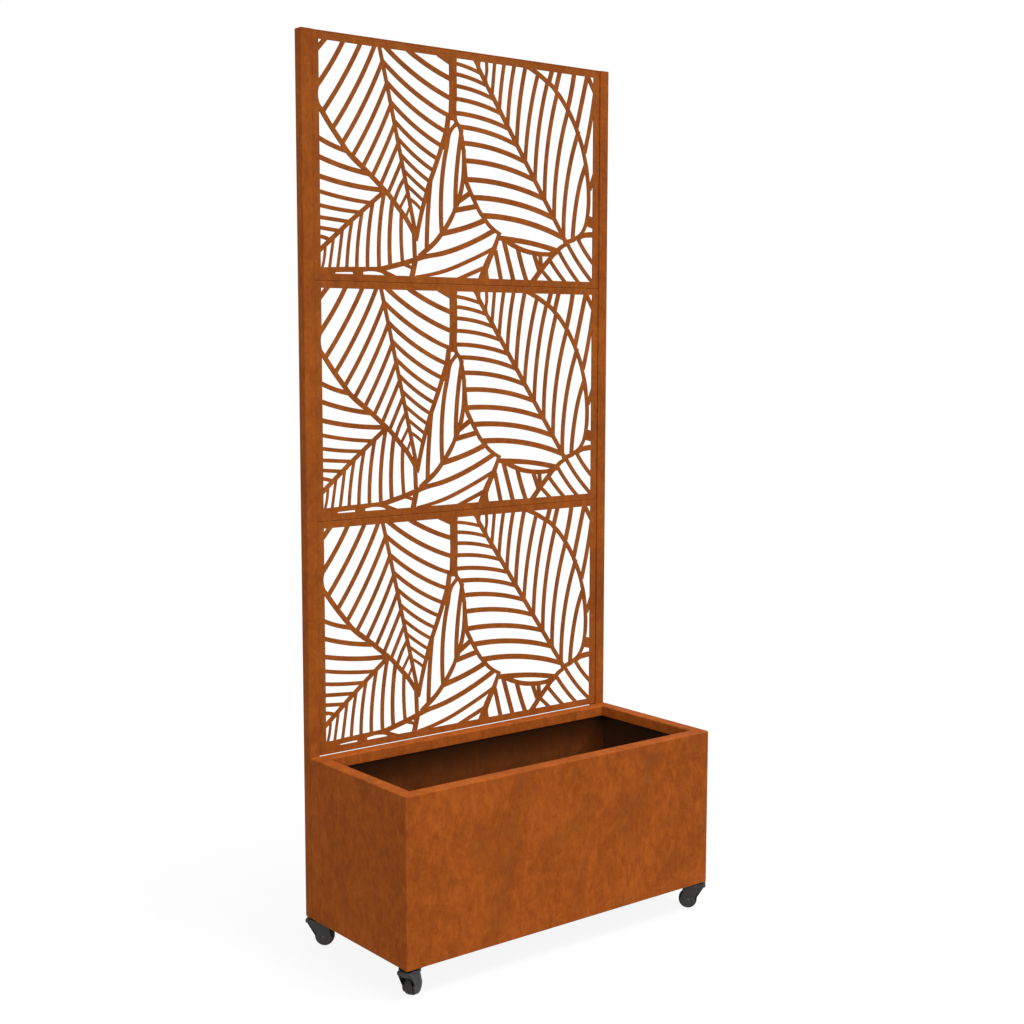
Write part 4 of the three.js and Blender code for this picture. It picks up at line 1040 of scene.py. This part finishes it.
def caster_pieces():
    """All of one caster's meshes in its own frame, by the name of the solid that each is."""
    cheeks = [eased(f"cheek_{s}", cheek_outline(), s * CHEEK_MIDDLE - CHEEK_SHEET / 2,
                    s * CHEEK_MIDDLE + CHEEK_SHEET / 2, 0.9 * MM, across) for s in (-1, 1)]
    crown = eased("crown", crown_outline(), CROWN_BOTTOM, CROWN_TOP, 1.6 * MM, upright, 5)
    guard = eased("guard", guard_line, -GUARD_HALF, GUARD_HALF, 0.2 * MM, across, 1)
    square = rounded_rectangle(PLATE_SIZE, PLATE_SIZE, 3 * MM)
    plate = eased("plate", square, PLATE_TOP - PLATE_SHEET, PLATE_TOP, 0.5 * MM, upright)
    spots = np.array([(-1, -1, 0), (1, -1, 0), (-1, 1, 0), (1, 1, 0)]) * FIXING_SPACING / 2
    screws = [turned(f"fixing_{i}", fixing_line, lambda p, spot=spot: p + spot, sides=20)
              for i, spot in enumerate(spots)]
    return {
        "fork": joined("fork", [crown, *cheeks, guard]),
        "top_plate": joined("top_plate", [plate, turned("race", race_line, upright), *screws]),
        "kingpin": turned("kingpin", pin_line, upright, sides=32),
        "axle": turned("axle", axle_line, about_axle, sides=32),
        "wheel": turned("wheel", core_line, about_axle, sides=56),
        "tyre": turned("tyre", tyre_line, about_axle, sides=72),
    }


FINISH = {
    "fork": (fork_paint, "caster_steel"), "top_plate": (fork_paint, "caster_steel"),
    "kingpin": (dark_zinc, "zinc_steel"), "axle": (dark_zinc, "zinc_steel"),
    "wheel": (wheel_plastic, "wheel_plastic"), "tyre": (rubber, "tyre"),
}
BODY = {"fork": "fork", "axle": "fork", "wheel": "wheel", "tyre": "wheel"}
shapes = caster_pieces()
for end, sy in {"front": -1, "back": 1}.items():
    for side, sx in SIDES.items():
        facing = math.atan2(sy, sx) + math.radians(SWING.get(f"{end}_{side}", 0))
        for part, shape in shapes.items():
            turn = facing if part in BODY else 0.0
            mesh = shape.data.copy()
            mesh.transform(Matrix.Translation((sx * CASTER_X, sy * CASTER_Y, 0))
                           @ Matrix.Rotation(turn, 4, "Z"))
            piece = bpy.data.objects.new(f"rolling_{end}_{side}_{part}", mesh)
            bpy.context.scene.collection.objects.link(piece)
            body = f"{BODY[part]}_{end}_{side}" if part in BODY else "planter"
            material, slot = FINISH[part]
            finished(piece, material, body, slot, f"caster_{end}_{side}_{part}")
for shape in shapes.values():
    bpy.data.objects.remove(shape)
print("4 casters of", len(FINISH), "pieces")

# %% [markdown]
# ## Floor, light and camera
#
# A studio shot: a white floor that fades into a white background, and soft light. The floor is
# a plane whose look to the camera is part glow and part plain diffuse white, so that it reads
# as white while the planter's shadow still darkens it a little. To light that bounces off it,
# it is a plain grey sheet. The world is white to the camera and a level grey dome to the object.
# The key light comes from high in front and a little from the right, and two weaker ones from
# low in front and from the left, so the upright faces are lit evenly from top to bottom.

# %% Stage and light
def seen_directly(tree):
    """1 for camera, mirror and glass rays, 0 for light that bounces off dull surfaces."""
    path = tree.nodes.new("ShaderNodeLightPath")
    camera, mirror, glass = (
        Wire(tree, path.outputs[name])
        for name in ("Is Camera Ray", "Is Glossy Ray", "Is Transmission Ray")
    )
    return camera.math("MAXIMUM", mirror.math("MAXIMUM", glass))


def white_floor():
    """A grey sheet that looks white: glow is added for camera, mirror and glass rays only."""
    material = bpy.data.materials.new("white_floor")
    material.use_nodes = True
    tree = material.node_tree
    tree.nodes.clear()
    output = tree.nodes.new("ShaderNodeOutputMaterial")
    sheet = new_node(tree, "ShaderNodeBsdfDiffuse", {}, {"Color": (0.2, 0.2, 0.2)})
    shaded = new_node(tree, "ShaderNodeBsdfDiffuse", {}, {"Color": (0.09, 0.09, 0.09)})
    glow = new_node(tree, "ShaderNodeEmission", {}, {"Color": (1.0, 1.0, 1.0), "Strength": 0.9})
    bright = new_node(tree, "ShaderNodeAddShader", {}, {0: shaded, 1: glow})
    mixed = new_node(tree, "ShaderNodeMixShader", {}, {0: seen_directly(tree), 1: sheet, 2: bright})
    tree.links.new(mixed.socket, output.inputs["Surface"])
    return material


STAGE_REACH = 14.0
FLOOR_LEVEL = -0.5 * MM
stage_corners = np.array([(-1, -1), (1, -1), (1, 1), (-1, 1)]) * STAGE_REACH
stage_mesh = bpy.data.meshes.new("studio_floor")
stage_mesh.from_pydata([(x, y, FLOOR_LEVEL) for x, y in stage_corners], [], [(0, 1, 2, 3)])
studio_floor = bpy.data.objects.new("studio_floor", stage_mesh)
bpy.context.scene.collection.objects.link(studio_floor)
stage_mesh.materials.append(white_floor())

world = bpy.data.worlds.new("studio")
bpy.context.scene.world = world
world.use_nodes = True
tree = world.node_tree
tree.nodes.clear()
dome = new_node(tree, "ShaderNodeBackground", {}, {"Color": (0.98, 0.99, 1.0), "Strength": 0.46})
backdrop = new_node(tree, "ShaderNodeBackground", {}, {"Color": (1.0, 1.0, 1.0), "Strength": 1.0})
mixed = new_node(tree, "ShaderNodeMixShader", {}, {0: seen_directly(tree), 1: dome, 2: backdrop})
tree.links.new(mixed.socket, tree.nodes.new("ShaderNodeOutputWorld").inputs["Surface"])


def soft_sun(name, towards, strength, spread):
    """A sun whose light comes from the direction towards, with soft shadows."""
    data = bpy.data.lights.new(name, "SUN")
    data.energy = strength
    data.angle = math.radians(spread)
    lamp = bpy.data.objects.new(name, data)
    lamp.rotation_euler = Vector(towards).to_track_quat("Z", "Y").to_euler()
    bpy.context.scene.collection.objects.link(lamp)


soft_sun("key", (0.226, -0.362, 0.904), 2.4, 25)
soft_sun("front_fill", (-0.1, -0.956, 0.276), 0.82, 30)
soft_sun("left_fill", (-0.92, -0.28, 0.276), 0.8, 30)
print("studio set")

# %% The camera
camera_data = bpy.data.cameras.new("camera")
camera_data.sensor_width = 36
camera_data.lens = 54.287
camera = bpy.data.objects.new("camera", camera_data)
bpy.context.scene.collection.objects.link(camera)
YAW, PITCH, ROLL = map(math.radians, (38.446, -6.317, 0.116))
forward = Vector(
    (math.sin(YAW) * math.cos(PITCH), math.cos(YAW) * math.cos(PITCH), math.sin(PITCH))
)
right = Vector((math.cos(YAW), -math.sin(YAW), 0))
up = right.cross(forward)
right, up = (
    math.cos(ROLL) * right + math.sin(ROLL) * up,
    -math.sin(ROLL) * right + math.cos(ROLL) * up,
)
turn = Matrix((right, up, -forward)).transposed().to_4x4()
camera.matrix_world = Matrix.Translation((-2.48245, -3.12204, 1.55388)) @ turn
bpy.context.scene.camera = camera
bpy.context.scene.view_settings.view_transform = "Standard"
